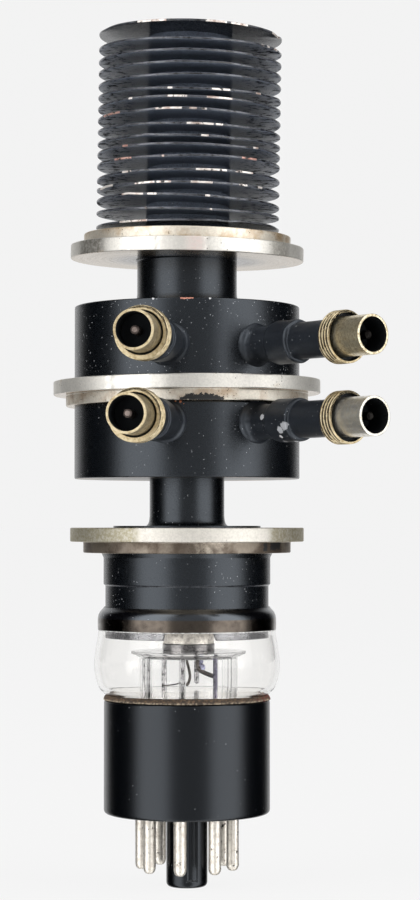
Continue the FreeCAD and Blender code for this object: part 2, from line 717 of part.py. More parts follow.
def port_spigot():
    """Tube end that a coaxial plug slides over, seated by its thicker root in the ring."""
    bore_r = PORT_BORE_D / 2
    outer_r = PORT_SPIGOT_D / 2
    root_r = PORT_SPIGOT_ROOT_D / 2
    root_end = PORT_SHOULDER_REACH + PORT_RING_LENGTH
    outline = [
        (PORT_SHOULDER_REACH, bore_r),
        (PORT_SHOULDER_REACH, root_r),
        (root_end, root_r),
        (root_end, outer_r),
        (PORT_TIP_REACH - EDGE_BREAK / 2, outer_r),
        (PORT_TIP_REACH, outer_r - EDGE_BREAK / 2),
        (PORT_TIP_REACH, bore_r),
    ]
    return port_turned(outline)


def port_bead():
    """Glass bead that centres the inner conductor and seals the tube."""
    bead = along_port(PORT_BORE_D, PORT_BEAD_REACH, PORT_BEAD_LENGTH)
    return bead.cut(along_port(PORT_PIN_D, PORT_BEAD_REACH, PORT_BEAD_LENGTH))


def port_pin():
    """Inner conductor, bent inside the cavity into a coupling loop that ends on the wall."""
    tip = PORT_TIP_REACH - PORT_PIN_RECESS
    pin = along_port(PORT_PIN_D, CAVITY_BORE_R, tip - CAVITY_BORE_R)
    pin = pin.makeChamfer(PORT_PIN_CHAMFER, [e for e in pin.Edges if edge_at_reach(e, tip)])
    bend_reach = LOOP_REACH + LOOP_RADIUS
    leg = along_port(LOOP_WIRE_D, bend_reach, CAVITY_BORE_R - bend_reach)
    return_leg = along_port(LOOP_WIRE_D, bend_reach, CAVITY_BORE_R - LOOP_SEAT_GAP - bend_reach)
    return_leg.translate(V(0, 0, -2 * LOOP_RADIUS))
    bend = Part.makeTorus(LOOP_RADIUS, LOOP_WIRE_D / 2, CENTRE, UP, 0, 360, 180)
    bend.rotate(CENTRE, V(0, 1, 0), 90)
    bend.translate(V(0, -bend_reach, -LOOP_RADIUS))
    return pin.fuse([leg, bend, return_leg]).removeSplitter()


def edge_at_reach(edge, reach):
    """True for a circle that lies across a port's axis at this reach."""
    curve = edge.Curve
    return isinstance(curve, Part.Circle) and abs(curve.Center.y + reach) < 1e-4


def pieces():
    """Every piece by its node name."""
    made = {
        "base_shell": base_shell(),
        "base_pins": base_pins(),
        "base_cement": base_cement(),
        "glass_envelope": glass_envelope(),
        "glass_stem": glass_stem(),
        "stem_leads": stem_leads(),
        "gun_disc": gun_disc(),
        "cathode": cathode(),
        "heater": heater(),
        "focus_cup": focus_cup(),
        "metal_cup": metal_cup(),
        "lower_flange": lower_flange(),
        "lower_neck": lower_neck(),
        "lower_cavity": lower_cavity(),
        "middle_flange": middle_flange(),
        "drift_tube": drift_tube(),
        "cavity_grids": cavity_grids(),
        "upper_cavity": upper_cavity(),
        "upper_neck": upper_neck(),
        "upper_flange": upper_flange(),
        "collector": collector(),
    }
    for index in range(FIN_COUNT):
        made[f"fin_{index + 1:02d}"] = fin(index + 1)
    port_makers = {
        "tube": port_tube,
        "ring": port_ring,
        "spigot": port_spigot,
        "bead": port_bead,
        "pin": port_pin,
    }
    for place, turn in PORT_TURNS.items():
        for piece, make in port_makers.items():
            made[f"{place}_port_{piece}"] = place_port(make(), PORT_HEIGHTS[place], turn)
        tube = f"{place}_port_tube"
        made[tube] = made[tube].cut(made["middle_flange"])
    return made


def main():
    """Build every piece, check it and write its STEP file."""
    os.makedirs("parts", exist_ok=True)
    for name, shape in pieces().items():
        if not shape.isValid():
            raise ValueError(f"{name} is not a valid solid")
        shape.exportStep(f"parts/{name}.step")
        print(f"{name}: {len(shape.Solids)} solids, {shape.Volume:.1f} mm3")


main()
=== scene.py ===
"""Dresses a two-cavity klystron: painted body, plated flanges, glass-cased gun and octal base.

Lengths are metres in the part's own frame: +Z up the tube, -Y toward the front.
"""

import logging
import math
import random
from collections.abc import Callable
from dataclasses import astuple, dataclass, field
from enum import Enum

import bpy
from mathutils import Matrix, Vector


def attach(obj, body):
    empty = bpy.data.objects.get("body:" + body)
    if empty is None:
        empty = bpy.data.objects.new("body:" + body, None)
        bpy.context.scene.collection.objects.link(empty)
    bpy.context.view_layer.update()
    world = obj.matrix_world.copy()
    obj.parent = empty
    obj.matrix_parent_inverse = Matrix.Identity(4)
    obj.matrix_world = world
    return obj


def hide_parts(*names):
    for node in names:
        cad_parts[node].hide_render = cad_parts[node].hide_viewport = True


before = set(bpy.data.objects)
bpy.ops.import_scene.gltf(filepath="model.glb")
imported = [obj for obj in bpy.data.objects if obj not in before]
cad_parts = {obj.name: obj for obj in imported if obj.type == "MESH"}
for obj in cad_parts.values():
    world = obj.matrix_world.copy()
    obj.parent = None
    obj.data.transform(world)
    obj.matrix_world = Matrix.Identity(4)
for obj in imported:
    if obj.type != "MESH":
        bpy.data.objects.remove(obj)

MM = 0.001
ROOT = "root"
Colour = tuple[float, float, float]
Profile = list[tuple[float, float]]
log = logging.getLogger("klystron")


def linear(red: int, green: int, blue: int) -> Colour:
    """Turn a display colour into linear light.

    Args:
        red, green, blue: display values from 0 to 255.

    Returns:
        The linear colour.
    """
    def channel(value: float) -> float:
        share = value / 255
        return share / 12.92 if share <= 0.04045 else ((share + 0.055) / 1.055) ** 2.4
    return channel(red), channel(green), channel(blue)


class Sockets:
    """Short ways to add nodes to one tree and join them."""

    def __init__(self, tree: bpy.types.NodeTree) -> None:
        """Keep the tree that the nodes go into."""
        self.tree = tree

    def node(self, kind: str, inputs: dict | None = None, **settings: object) -> bpy.types.Node:
        """Add a node.

        Args:
            kind: the node's type name.
            inputs: input name or index to a value or an output socket.
            settings: the node's own settings.

        Returns:
            The new node.
        """
        made = self.tree.nodes.new(kind)
        for name, value in settings.items():
            setattr(made, name, value)
        for key, value in (inputs or {}).items():
            self.feed(made.inputs[key], value)
        return made

    def feed(self, socket: bpy.types.NodeSocket, value: object) -> None:
        """Give a socket a link, where the value is an output, or else a value."""
        if isinstance(value, bpy.types.NodeSocket):
            self.tree.links.new(value, socket)
        elif isinstance(value, (tuple, list)) and len(value) == 3 and socket.type == "RGBA":
            socket.default_value = (*value, 1.0)
        else:
            socket.default_value = value

    def maths(self, operation: str, first: object, second: object = 0.0) -> bpy.types.NodeSocket:
        """Return the output of a maths node."""
        return self.node("ShaderNodeMath", {0: first, 1: second}, operation=operation).outputs[0]

    def ramp(self, value: object, low: float, high: float) -> bpy.types.NodeSocket:
        """Return 0 where value is at low and 1 where it is at high, smooth between."""
        made = self.node(
            "ShaderNodeMapRange",
            {"Value": value, "From Min": low, "From Max": high},
            interpolation_type="SMOOTHSTEP",
        )
        return made.outputs["Result"]

    def blend(self, share: object, first: object, second: object) -> bpy.types.NodeSocket:
        """Return a colour between first and second by share."""
        made = self.node("ShaderNodeMix", data_type="RGBA")
        self.feed(made.inputs["Factor"], share)
        self.feed(made.inputs[6], first)
        self.feed(made.inputs[7], second)
        return made.outputs[2]

    def noise(self, vector: object, scale: float, detail: float = 2.0,
            rough: float = 0.5) -> bpy.types.NodeSocket:
        """Return the value of a noise texture."""
        made = self.node(
            "ShaderNodeTexNoise",
            {"Vector": vector, "Scale": scale, "Detail": detail, "Roughness": rough},
        )
        return made.outputs["Fac"]

    def place(self) -> bpy.types.NodeSocket:
        """Return the object coordinates, which are the part's own frame."""
        return self.node("ShaderNodeTexCoord").outputs["Object"]

    def height(self) -> bpy.types.NodeSocket:
        """Return the height up the tube."""
        return self.node("ShaderNodeSeparateXYZ", {0: self.place()}).outputs["Z"]


class Effect:
    """A shader node group that several finishes use, built once."""

    name = "effect"

    def __init__(self) -> None:
        """Make the group with its sockets and nodes."""
        self.tree = bpy.data.node_groups.new(self.name, "ShaderNodeTree")
        self.start = self.tree.nodes.new("NodeGroupInput")
        self.end = self.tree.nodes.new("NodeGroupOutput")
        self.kit = Sockets(self.tree)
        self.build()

    def build(self) -> None:
        """Add the sockets and nodes; each effect has its own."""
        raise NotImplementedError

    def entry(self, name: str, default: float) -> bpy.types.NodeSocket:
        """Add a number input and return its socket inside the group."""
        made = self.tree.interface.new_socket(name, in_out="INPUT", socket_type="NodeSocketFloat")
        made.default_value = default
        return self.start.outputs[name]

    def result(self, name: str, value: bpy.types.NodeSocket) -> None:
        """Add a number output fed by value."""
        self.tree.interface.new_socket(name, in_out="OUTPUT", socket_type="NodeSocketFloat")
        self.tree.links.new(value, self.end.inputs[name])

    def use(self, kit: Sockets, **values: object) -> bpy.types.Node:
        """Place the group in a material's tree.

        Args:
            kit: the material's tree.
            values: input names, with underscores for spaces, to values or sockets.

        Returns:
            The group node.
        """
        made = kit.node("ShaderNodeGroup", node_tree=self.tree)
        for name, value in values.items():
            kit.feed(made.inputs[name.replace("_", " ")], value)
        return made


class DustSpecks(Effect):
    """Small pale specks scattered over a surface."""

    name = "dust specks"

    def build(self) -> None:
        """Pick some cells of a cell pattern and put a dot at each one's heart."""
        spread = self.entry("Spread", 1400.0)
        share = self.entry("Share", 0.3)
        size = self.entry("Size", 0.12)
        cells = self.kit.node("ShaderNodeTexVoronoi", {"Vector": self.kit.place(), "Scale": spread})
        picks = self.kit.node("ShaderNodeSeparateColor", {0: cells.outputs["Color"]})
        crowd = self.kit.ramp(self.kit.noise(self.kit.place(), 70.0, 3.0), 0.3, 0.75)
        chosen = self.kit.maths("LESS_THAN", picks.outputs["Red"], self.kit.maths("MULTIPLY", share, crowd))
        near = self.kit.maths("LESS_THAN", cells.outputs["Distance"], size)
        bright = self.kit.maths("ADD", 0.25, self.kit.maths("MULTIPLY", picks.outputs["Blue"], 0.75))
        self.result("Mask", self.kit.maths("MULTIPLY", self.kit.maths("MULTIPLY", chosen, near), bright))


class TurnedGrain(Effect):
    """Fine rings left by the lathe round the tube's axis."""

    name = "turned grain"

    def build(self) -> None:
        """Noise that changes with radius and height, and hardly with bearing."""
        pitch = self.entry("Pitch", 2600.0)
        place = self.kit.node("ShaderNodeSeparateXYZ", {0: self.kit.place()})
        across = self.kit.maths("MULTIPLY", place.outputs["X"], place.outputs["X"])
        along = self.kit.maths("MULTIPLY", place.outputs["Y"], place.outputs["Y"])
        radius = self.kit.maths("SQRT", self.kit.maths("ADD", across, along))
        bearing = self.kit.maths("ARCTAN2", place.outputs["Y"], place.outputs["X"])
        slow = self.kit.maths("MULTIPLY", bearing, 0.0006)
        rings = self.kit.node(
            "ShaderNodeCombineXYZ", {"X": radius, "Y": place.outputs["Z"], "Z": slow}
        ).outputs[0]
        made = self.kit.node("ShaderNodeTexNoise", {"Vector": rings, "Scale": pitch, "Detail": 3.0})
        self.result("Grain", made.outputs["Fac"])


class Stains(Effect):
    """Soft blotches of tarnish with small dark spots among them."""

    name = "stains"

    def build(self) -> None:
        """One wide noise for the blotches and one cell pattern for the spots."""
        spread = self.entry("Spread", 170.0)
        cover = self.entry("Cover", 0.5)
        blotch = self.kit.node(
            "ShaderNodeTexNoise",
            {"Vector": self.kit.place(), "Scale": spread, "Detail": 5.0, "Roughness": 0.62},
        ).outputs["Fac"]
        edge = self.kit.maths("SUBTRACT", 0.72, self.kit.maths("MULTIPLY", cover, 0.3))
        top = self.kit.maths("ADD", edge, 0.14)
        soft = self.kit.node("ShaderNodeMapRange", {"Value": blotch, "From Min": edge, "From Max": top})
        self.result("Blotch", soft.outputs["Result"])
        cells = self.kit.node("ShaderNodeTexVoronoi", {"Vector": self.kit.place(), "Scale": 2100.0})
        pick = self.kit.node("ShaderNodeSeparateColor", {0: cells.outputs["Color"]}).outputs["Green"]
        crowd = self.kit.ramp(blotch, 0.45, 0.7)
        chosen = self.kit.maths("LESS_THAN", pick, self.kit.maths("MULTIPLY", crowd, cover))
        near = self.kit.maths("LESS_THAN", cells.outputs["Distance"], 0.24)
        self.result("Spots", self.kit.maths("MULTIPLY", self.kit.maths("MULTIPLY", chosen, near), 0.75))


class Patch(Effect):
    """One ragged patch on a turned surface, between two bearings and two heights."""

    name = "patch"

    def build(self) -> None:
        """Bearing and height, shaken by noise, kept between their ends."""
        first, last = self.entry("From", 0.0), self.entry("To", 0.1)
        low, high = self.entry("Low", 0.0), self.entry("High", 0.001)
        ragged = self.entry("Ragged", 0.5)
        place = self.kit.node("ShaderNodeSeparateXYZ", {0: self.kit.place()})
        bearing = self.kit.maths("ARCTAN2", place.outputs["X"],
            self.kit.maths("MULTIPLY", place.outputs["Y"], -1.0))
        shake = self.kit.maths("SUBTRACT", self.kit.noise(self.kit.place(), 1400.0, 4.0, 0.7), 0.5)
        shake = self.kit.maths("MULTIPLY", shake, ragged)
        turned = self.kit.maths("ADD", bearing, self.kit.maths("MULTIPLY", shake, 0.08))
        raised = self.kit.maths("ADD", place.outputs["Z"], self.kit.maths("MULTIPLY", shake, 0.002))
        inside = [
            self.kit.maths("GREATER_THAN", turned, first), self.kit.maths("LESS_THAN", turned, last),
            self.kit.maths("GREATER_THAN", raised, low), self.kit.maths("LESS_THAN", raised, high),
        ]
        mask = inside[0]
        for part in inside[1:]:
            mask = self.kit.maths("MULTIPLY", mask, part)
        self.result("Mask", mask)


class RaggedMark(Effect):
    """One ragged mark round a place on the part."""

    name = "ragged mark"

    def build(self) -> None:
        """Distance from the place, shaken by noise, kept under the mark's size."""
        spot = self.kit.node("ShaderNodeCombineXYZ", {
            "X": self.entry("X", 0.0), "Y": self.entry("Y", 0.0), "Z": self.entry("Z", 0.0)}).outputs[0]
        size = self.entry("Size", 0.0005)
        gap = self.kit.node("ShaderNodeVectorMath", {0: self.kit.place(), 1: spot},
            operation="DISTANCE").outputs["Value"]
        shake = self.kit.maths("SUBTRACT", self.kit.noise(self.kit.place(), 1900.0, 3.0, 0.7), 0.5)
        reach = self.kit.maths("ADD", gap, self.kit.maths("MULTIPLY", shake,
                self.kit.maths("MULTIPLY", size, 1.6)))
        self.result("Mask", self.kit.maths("LESS_THAN", reach, size))


@dataclass(frozen=True)
class Effects:
    """The shared effects."""

    dust: DustSpecks = field(default_factory=DustSpecks)
    grain: TurnedGrain = field(default_factory=TurnedGrain)
    stains: Stains = field(default_factory=Stains)
    patch: Patch = field(default_factory=Patch)
    mark: RaggedMark = field(default_factory=RaggedMark)


def new_material(name: str) -> tuple[bpy.types.Material, Sockets, bpy.types.Node, bpy.types.Node]:
    """Make a material with a Principled shader.

    Args:
        name: the material's name.

    Returns:
        The material, its node helper, its shader and its output.
    """
    material = bpy.data.materials.new(name)
    material.use_nodes = True
    kit = Sockets(material.node_tree)
    shader = material.node_tree.nodes["Principled BSDF"]
    output = material.node_tree.nodes["Material Output"]
    return material, kit, shader, output


def bumped(kit: Sockets, shader: bpy.types.Node, height: bpy.types.NodeSocket, strength: float,
        depth: float) -> None:
    """Feed a height through a bump node into the shader's normal."""
    bump = kit.node("ShaderNodeBump", {"Height": height, "Strength": strength, "Distance": depth})
    kit.feed(shader.inputs["Normal"], bump.outputs["Normal"])


@dataclass(frozen=True)
class BlackPaint:
    """Semi-matt blue-black paint with dust on it."""

    name: str = "black paint"
    colour: Colour = linear(6, 8, 11)
    tint: Colour = (0.82, 0.9, 1.0)
    dust_colour: Colour = linear(190, 192, 196)
    roughness: float = 0.27
    specular: float = 0.55
    dust_share: float = 0.8
    grain: float = 0.07

    def make(self, effects: Effects) -> bpy.types.Material:
        """Return the material."""
        material, kit, shader, _ = new_material(self.name)
        self.coat(kit, shader, effects)
        return material

    def coat(self, kit: Sockets, shader: bpy.types.Node, effects: Effects) -> bpy.types.NodeSocket:
        """Feed the paint into the shader and return its colour.

        Args:
            kit: the material's tree.
            shader: the shader to feed.
            effects: the shared effects.

        Returns:
            The paint's colour, dust included.
        """
        cloud = kit.noise(kit.place(), 220.0, 5.0, 0.6)
        fine = kit.noise(kit.place(), 5200.0, 2.0, 0.7)
        base = kit.blend(kit.ramp(fine, 0.3, 0.75), tuple(c * 0.5 for c in self.colour),
            tuple(c * 1.9 for c in self.colour))
        specks = effects.dust.use(kit, Share=self.dust_share).outputs["Mask"]
        colour = kit.blend(specks, base, self.dust_colour)
        kit.feed(shader.inputs["Base Color"], colour)
        mottle = kit.maths("ADD", kit.maths("MULTIPLY", cloud, 0.08),
            kit.maths("MULTIPLY", fine, self.grain * 2))
        kit.feed(shader.inputs["Roughness"], kit.maths("ADD", mottle, self.roughness - self.grain - 0.04))
        shader.inputs["Specular IOR Level"].default_value = self.specular
        shader.inputs["Specular Tint"].default_value = (*self.tint, 1.0)
        bumped(kit, shader, kit.maths("ADD", fine, kit.maths("MULTIPLY", cloud, 0.5)), 0.3, 0.00005)
        return colour


@dataclass(frozen=True)
class Mark:
    """A small chip in the paint: where it is and how large, in millimetres, and what shows."""

    x: float
    y: float
    z: float
    size: float
    colour: Colour = linear(214, 214, 216)


@dataclass(frozen=True)
class WornPaint(BlackPaint):
    """Black paint chipped in places, and worn through to copper along one stretch."""

    name: str = "worn paint"
    marks: tuple[Mark, ...] = ()
    bare: Colour = linear(206, 142, 122)
    turns: tuple[float, float] = (0.0, 0.0)
    heights: tuple[float, float] = (0.0, 0.0)

    def make(self, effects: Effects) -> bpy.types.Material:
        """Return the material."""
        material, kit, shader, _ = new_material(self.name)
        colour = self.coat(kit, shader, effects)
        if self.turns[1] > self.turns[0]:
            worn = effects.patch.use(
                kit, From=math.radians(self.turns[0]), To=math.radians(self.turns[1]),
                Low=self.heights[0] * MM, High=self.heights[1] * MM, Ragged=0.7,
            ).outputs["Mask"]
            colour = kit.blend(worn, colour, self.bare)
        for mark in self.marks:
            chip = effects.mark.use(
                kit, X=mark.x * MM, Y=mark.y * MM, Z=mark.z * MM, Size=mark.size * MM).outputs["Mask"]
            colour = kit.blend(chip, colour, mark.colour)
        kit.feed(shader.inputs["Base Color"], colour)
        return material


@dataclass(frozen=True)
class ShoulderPaint(BlackPaint):
    """Glossy black paint over the glass."""

    name: str = "shoulder paint"
    colour: Colour = linear(5, 5, 7)
    roughness: float = 0.17
    grain: float = 0.02
    dust_share: float = 0.3
    specular: float = 1.0


@dataclass(frozen=True)
class FinPaint(BlackPaint):
    """Paint on a fin, its base a pale blue-grey that paints the reflection of the pale surroundings on the
    black fin, dusty, with small knocks near its rim.
    """

    name: str = "fin paint"
    # Pale blue-grey base: painted reflection of the pale surroundings on black fin paint.
    colour: Colour = linear(104, 111, 124)
    roughness: float = 0.3
    specular: float = 0.1

    def make(self, effects: Effects) -> bpy.types.Material:
        """Return the material."""
        material, kit, shader, _ = new_material(self.name)
        paint = self.coat(kit, shader, effects)
        side = kit.maths("ABSOLUTE", kit.node("ShaderNodeSeparateXYZ", {0: kit.place()}).outputs["X"])
        pits = kit.ramp(kit.noise(kit.place(), 620.0, 5.0, 0.72), 0.5, 0.6)
        pits = kit.maths("MULTIPLY", pits, kit.ramp(side, 0.008, 0.014))
        kit.feed(shader.inputs["Base Color"], kit.blend(pits, paint, linear(6, 6, 8)))
        rough = kit.node("ShaderNodeMapRange", {"Value": pits, "To Min": self.roughness,
                "To Max": 0.75}).outputs["Result"]
        kit.feed(shader.inputs["Roughness"], rough)
        return material


@dataclass(frozen=True)
class RubbedRim:
    """Fin rim rubbed shiny through thin paint."""

    name: str = "rubbed rim"
    colour: Colour = linear(92, 94, 100)
    paint: Colour = linear(14, 15, 18)

    def make(self, effects: Effects) -> bpy.types.Material:
        """Return the material."""
        material, kit, shader, _ = new_material(self.name)
        rubbed = kit.ramp(kit.noise(kit.place(), 620.0, 5.0, 0.72), 0.36, 0.6)
        kit.feed(shader.inputs["Base Color"], kit.blend(rubbed, self.paint, self.colour))
        kit.feed(shader.inputs["Metallic"], kit.maths("MULTIPLY", rubbed, 0.35))
        shader.inputs["Roughness"].default_value = 0.22
        return material


@dataclass(frozen=True)
class BareRim:
    """Fin rim where the paint is knocked off in ragged dashes."""

    name: str = "bare rim"
    bare: Colour = linear(232, 226, 220)
    shade: Colour = linear(170, 150, 140)
    paint: Colour = linear(9, 10, 13)

    def make(self, effects: Effects) -> bpy.types.Material:
        """Return the material."""
        material, kit, shader, _ = new_material(self.name)
        gaps = kit.ramp(kit.noise(kit.place(), 900.0, 4.0, 0.7), 0.56, 0.6)
        metal = kit.blend(kit.ramp(kit.noise(kit.place(), 700.0, 3.0), 0.4, 0.7), self.bare, self.shade)
        kit.feed(shader.inputs["Base Color"], kit.blend(gaps, metal, self.paint))
        kit.feed(shader.inputs["Metallic"], kit.maths("SUBTRACT", 0.6, kit.maths("MULTIPLY", gaps, 0.6)))
        shader.inputs["Roughness"].default_value = 0.45
        return material


@dataclass(frozen=True)
class NickelPlate:
    """Satin nickel plate, turned and stained."""

    name: str = "satin nickel"
    colour: Colour = linear(216, 213, 206)
    stain: Colour = linear(196, 178, 152)
    dark: Colour = linear(70, 60, 52)
    roughness: float = 0.46
    cover: float = 0.35
    smears: tuple[tuple[float, float, float, float], ...] = ()
    sectors: tuple[tuple[float, float, Colour], ...] = ()
    # Painted shade toward the axis: full inside this radius, fading out over the next distance, in this
    # colour.
    neck_shade_radius: float = 0.0
    fade: float = 6.5
    neck_shade: Colour = linear(84, 84, 86)

    def make(self, effects: Effects) -> bpy.types.Material:
        """Return the material."""
        material, kit, shader, _ = new_material(self.name)
        stains = effects.stains.use(kit, Cover=self.cover)
        fine = kit.ramp(kit.noise(kit.place(), 2600.0, 3.0, 0.7), 0.3, 0.75)
        metal = kit.blend(fine, tuple(c * 1.06 for c in self.colour), tuple(c * 0.86 for c in self.colour))
        # Tints set by bearing from the front; on the rims the darker side tints are painted shade.
        if self.sectors:
            spot = kit.node("ShaderNodeSeparateXYZ", {0: kit.place()})
            turn = kit.maths("ARCTAN2", spot.outputs["X"], kit.maths("MULTIPLY", spot.outputs["Y"], -1.0))
            cloud = kit.ramp(kit.noise(kit.place(), 1800.0, 6.0, 0.75), 0.15, 0.7)
        for first, last, tint in self.sectors:
            rise = kit.ramp(turn, math.radians(first - 3), math.radians(first + 3))
            fall = kit.ramp(turn, math.radians(last - 3), math.radians(last + 3))
            share = kit.maths("MULTIPLY", kit.maths("SUBTRACT", rise, fall), cloud)
            metal = kit.blend(share, metal, tint)
        base = kit.blend(kit.maths("MULTIPLY", stains.outputs["Blotch"], 0.8), metal, self.stain)
        base = kit.blend(stains.outputs["Spots"], base, self.dark)
        # Painted shade: darken the surface toward the neck, where the neck's dark reflection and shade fall
        # on faces that look down.
        if self.neck_shade_radius:
            flat = kit.node(
                "ShaderNodeVectorMath", {0: kit.place(), 1: (1.0, 1.0, 0.0)}, operation="MULTIPLY",
            ).outputs[0]
            away = kit.node("ShaderNodeVectorMath", {0: flat}, operation="LENGTH").outputs["Value"]
            near = kit.maths("SUBTRACT", 1.0, kit.ramp(away, self.neck_shade_radius * MM, (self.neck_shade_radius + self.fade) * MM))
            base = kit.blend(kit.maths("MULTIPLY", near, 0.85), base, self.neck_shade)
        metallic: object = 0.8
        for first, last, low, high in self.smears:
            mask = effects.patch.use(
                kit, From=math.radians(first), To=math.radians(last), Low=low * MM, High=high * MM,
                Ragged=1.0,
            ).outputs["Mask"]
            base = kit.blend(mask, base, linear(10, 11, 13))
            metallic = kit.maths("MULTIPLY", metallic, kit.maths("SUBTRACT", 1.0, mask))
        kit.feed(shader.inputs["Base Color"], base)
        kit.feed(shader.inputs["Metallic"], metallic)
        grain = effects.grain.use(kit).outputs["Grain"]
        rough = kit.node(
            "ShaderNodeMapRange",
            {"Value": grain, "To Min": self.roughness - 0.08, "To Max": self.roughness + 0.1},
        ).outputs["Result"]
        kit.feed(shader.inputs["Roughness"], rough)
        bumped(kit, shader, grain, 0.2, 0.00004)
        return material


@dataclass(frozen=True)
class PlainMetal:
    """Metal with a clouded surface."""

    name: str
    colour: Colour
    shade: Colour
    roughness: float = 0.3
    cloud_scale: float = 400.0
    metallic: float = 1.0
    marks: float = 0.0

    def make(self, effects: Effects) -> bpy.types.Material:
        """Return the material."""
        material, kit, shader, _ = new_material(self.name)
        cloud = kit.ramp(kit.noise(kit.place(), self.cloud_scale, 5.0, 0.6), 0.38, 0.7)
        colour = kit.blend(cloud, self.colour, self.shade)
        if self.marks:
            dark = kit.ramp(kit.noise(kit.place(), 640.0, 6.0, 0.75), 0.72 - self.marks * 0.1,
                0.75 - self.marks * 0.1)
            colour = kit.blend(dark, colour, linear(40, 36, 32))
        kit.feed(shader.inputs["Base Color"], colour)
        shader.inputs["Metallic"].default_value = self.metallic
        rough = kit.node(
            "ShaderNodeMapRange",
            {"Value": cloud, "To Min": self.roughness, "To Max": self.roughness + 0.15},
        ).outputs["Result"]
        kit.feed(shader.inputs["Roughness"], rough)
        bumped(kit, shader, kit.noise(kit.place(), 2400.0, 2.0), 0.15, 0.00005)
        return material


@dataclass(frozen=True)
class Moulding:
    """Black phenolic moulding."""

    name: str = "phenolic moulding"
    colour: Colour = linear(4, 5, 7)
    roughness: float = 0.25

    def make(self, effects: Effects) -> bpy.types.Material:
        """Return the material."""
        material, kit, shader, _ = new_material(self.name)
        specks = effects.dust.use(kit, Share=0.12).outputs["Mask"]
        fine = kit.noise(kit.place(), 5200.0, 2.0, 0.7)
        base = kit.blend(kit.ramp(fine, 0.3, 0.75), tuple(c * 0.6 for c in self.colour),
            tuple(c * 1.8 for c in self.colour))
        kit.feed(shader.inputs["Base Color"], kit.blend(specks, base, linear(150, 152, 156)))
        kit.feed(shader.inputs["Roughness"], kit.maths("ADD", self.roughness - 0.05,
                kit.maths("MULTIPLY", fine, 0.1)))
        shader.inputs["Specular IOR Level"].default_value = 0.4
        shader.inputs["Specular Tint"].default_value = (0.84, 0.91, 1.0, 1.0)
        bumped(kit, shader, fine, 0.25, 0.00006)
        return material


@dataclass(frozen=True)
class ClearGlass:
    """Clear glass that lets light through to what is inside."""

    name: str = "clear glass"
    colour: Colour = (0.993, 0.988, 0.978)
    roughness: float = 0.0
    bend: float = 1.25

    def make(self, effects: Effects) -> bpy.types.Material:
        """Return the material."""
        material, kit, shader, output = new_material(self.name)
        shader.inputs["Base Color"].default_value = (*self.colour, 1.0)
        shader.inputs["Roughness"].default_value = self.roughness
        shader.inputs["Transmission Weight"].default_value = 1.0
        shader.inputs["IOR"].default_value = self.bend
        ray = kit.node("ShaderNodeLightPath")
        clear = kit.node("ShaderNodeBsdfTransparent", {"Color": (0.95, 0.96, 0.96)})
        mix = kit.node("ShaderNodeMixShader", {0: ray.outputs["Is Shadow Ray"], 1: shader.outputs[0],
                2: clear.outputs[0]})
        kit.feed(output.inputs["Surface"], mix.outputs[0])
        return material


@dataclass(frozen=True)
class Cement:
    """Rust brown basing cement."""

    name: str = "basing cement"
    colour: Colour = linear(44, 36, 30)
    light: Colour = linear(118, 96, 74)
    red: Colour = linear(96, 30, 24)

    def make(self, effects: Effects) -> bpy.types.Material:
        """Return the material."""
        material, kit, shader, _ = new_material(self.name)
        grit = kit.ramp(kit.noise(kit.place(), 2400.0, 5.0, 0.75), 0.44, 0.66)
        side = kit.node("ShaderNodeSeparateXYZ", {0: kit.place()}).outputs["X"]
        base = kit.blend(grit, self.colour, self.light)
        low = kit.ramp(kit.height(), 0.02185, 0.0216)
        base = kit.blend(kit.maths("MULTIPLY", low, grit), base, linear(206, 190, 166))
        rust = kit.maths("MULTIPLY", kit.ramp(side, 0.0118, 0.0148),
            kit.ramp(kit.noise(kit.place(), 1500.0, 3.0), 0.45, 0.6))
        kit.feed(shader.inputs["Base Color"], kit.blend(rust, base, self.red))
        shader.inputs["Roughness"].default_value = 0.75
        bumped(kit, shader, grit, 0.6, 0.0001)
        return material


class Finish(Enum):
    """The finishes that the pieces take."""

    PAINT = "paint"
    FIN = "fin"
    NICKEL = "nickel"
    PORT = "port"
    WARM_PORT = "warm port"
    DULL_PORT = "dull port"
    THREAD_ROOT_SHADE = "thread root"
    PIN = "pin"
    MOULDING = "moulding"
    GLASS = "glass"
    STEM = "stem"
    BEAD = "bead"
    CEMENT = "cement"
    GUN = "gun"
    WIRE = "wire"
    COPPER = "copper"
    SHOULDER = "shoulder"
    MICA = "mica"
    DARK = "dark"
    WORN_PAINT = "worn paint"
    CHIPPED_PAINT = "chipped paint"
    VIOLET = "violet"
    MOTTLED = "mottled"
    FOIL = "foil"
    INNER = "inner"
    BARE = "bare"
    RIM = "rim"
    EDGE_HIGHLIGHT = "edge"
    TUBE = "tube"
    LEAD = "lead"
    SHADED_INNER = "dark inner"
    ORANGE_PAINT = "orange marked paint"
    FLOOR = "floor"
    BOTTOM = "bottom"
    COPPER_RIM = "copper rim"
    COLLECTOR = "collector"
    SKIRT = "skirt"
    AMBER = "amber"
    STEP = "step"
    LOWER_RIM = "lower rim"
    UPPER_RIM = "upper rim"
    TAN = "tan"
    POLISHED = "polished"
    SMEARED = "smeared"
    RECESS_SHADE = "painted_recess_shade"
    GETTER = "getter"


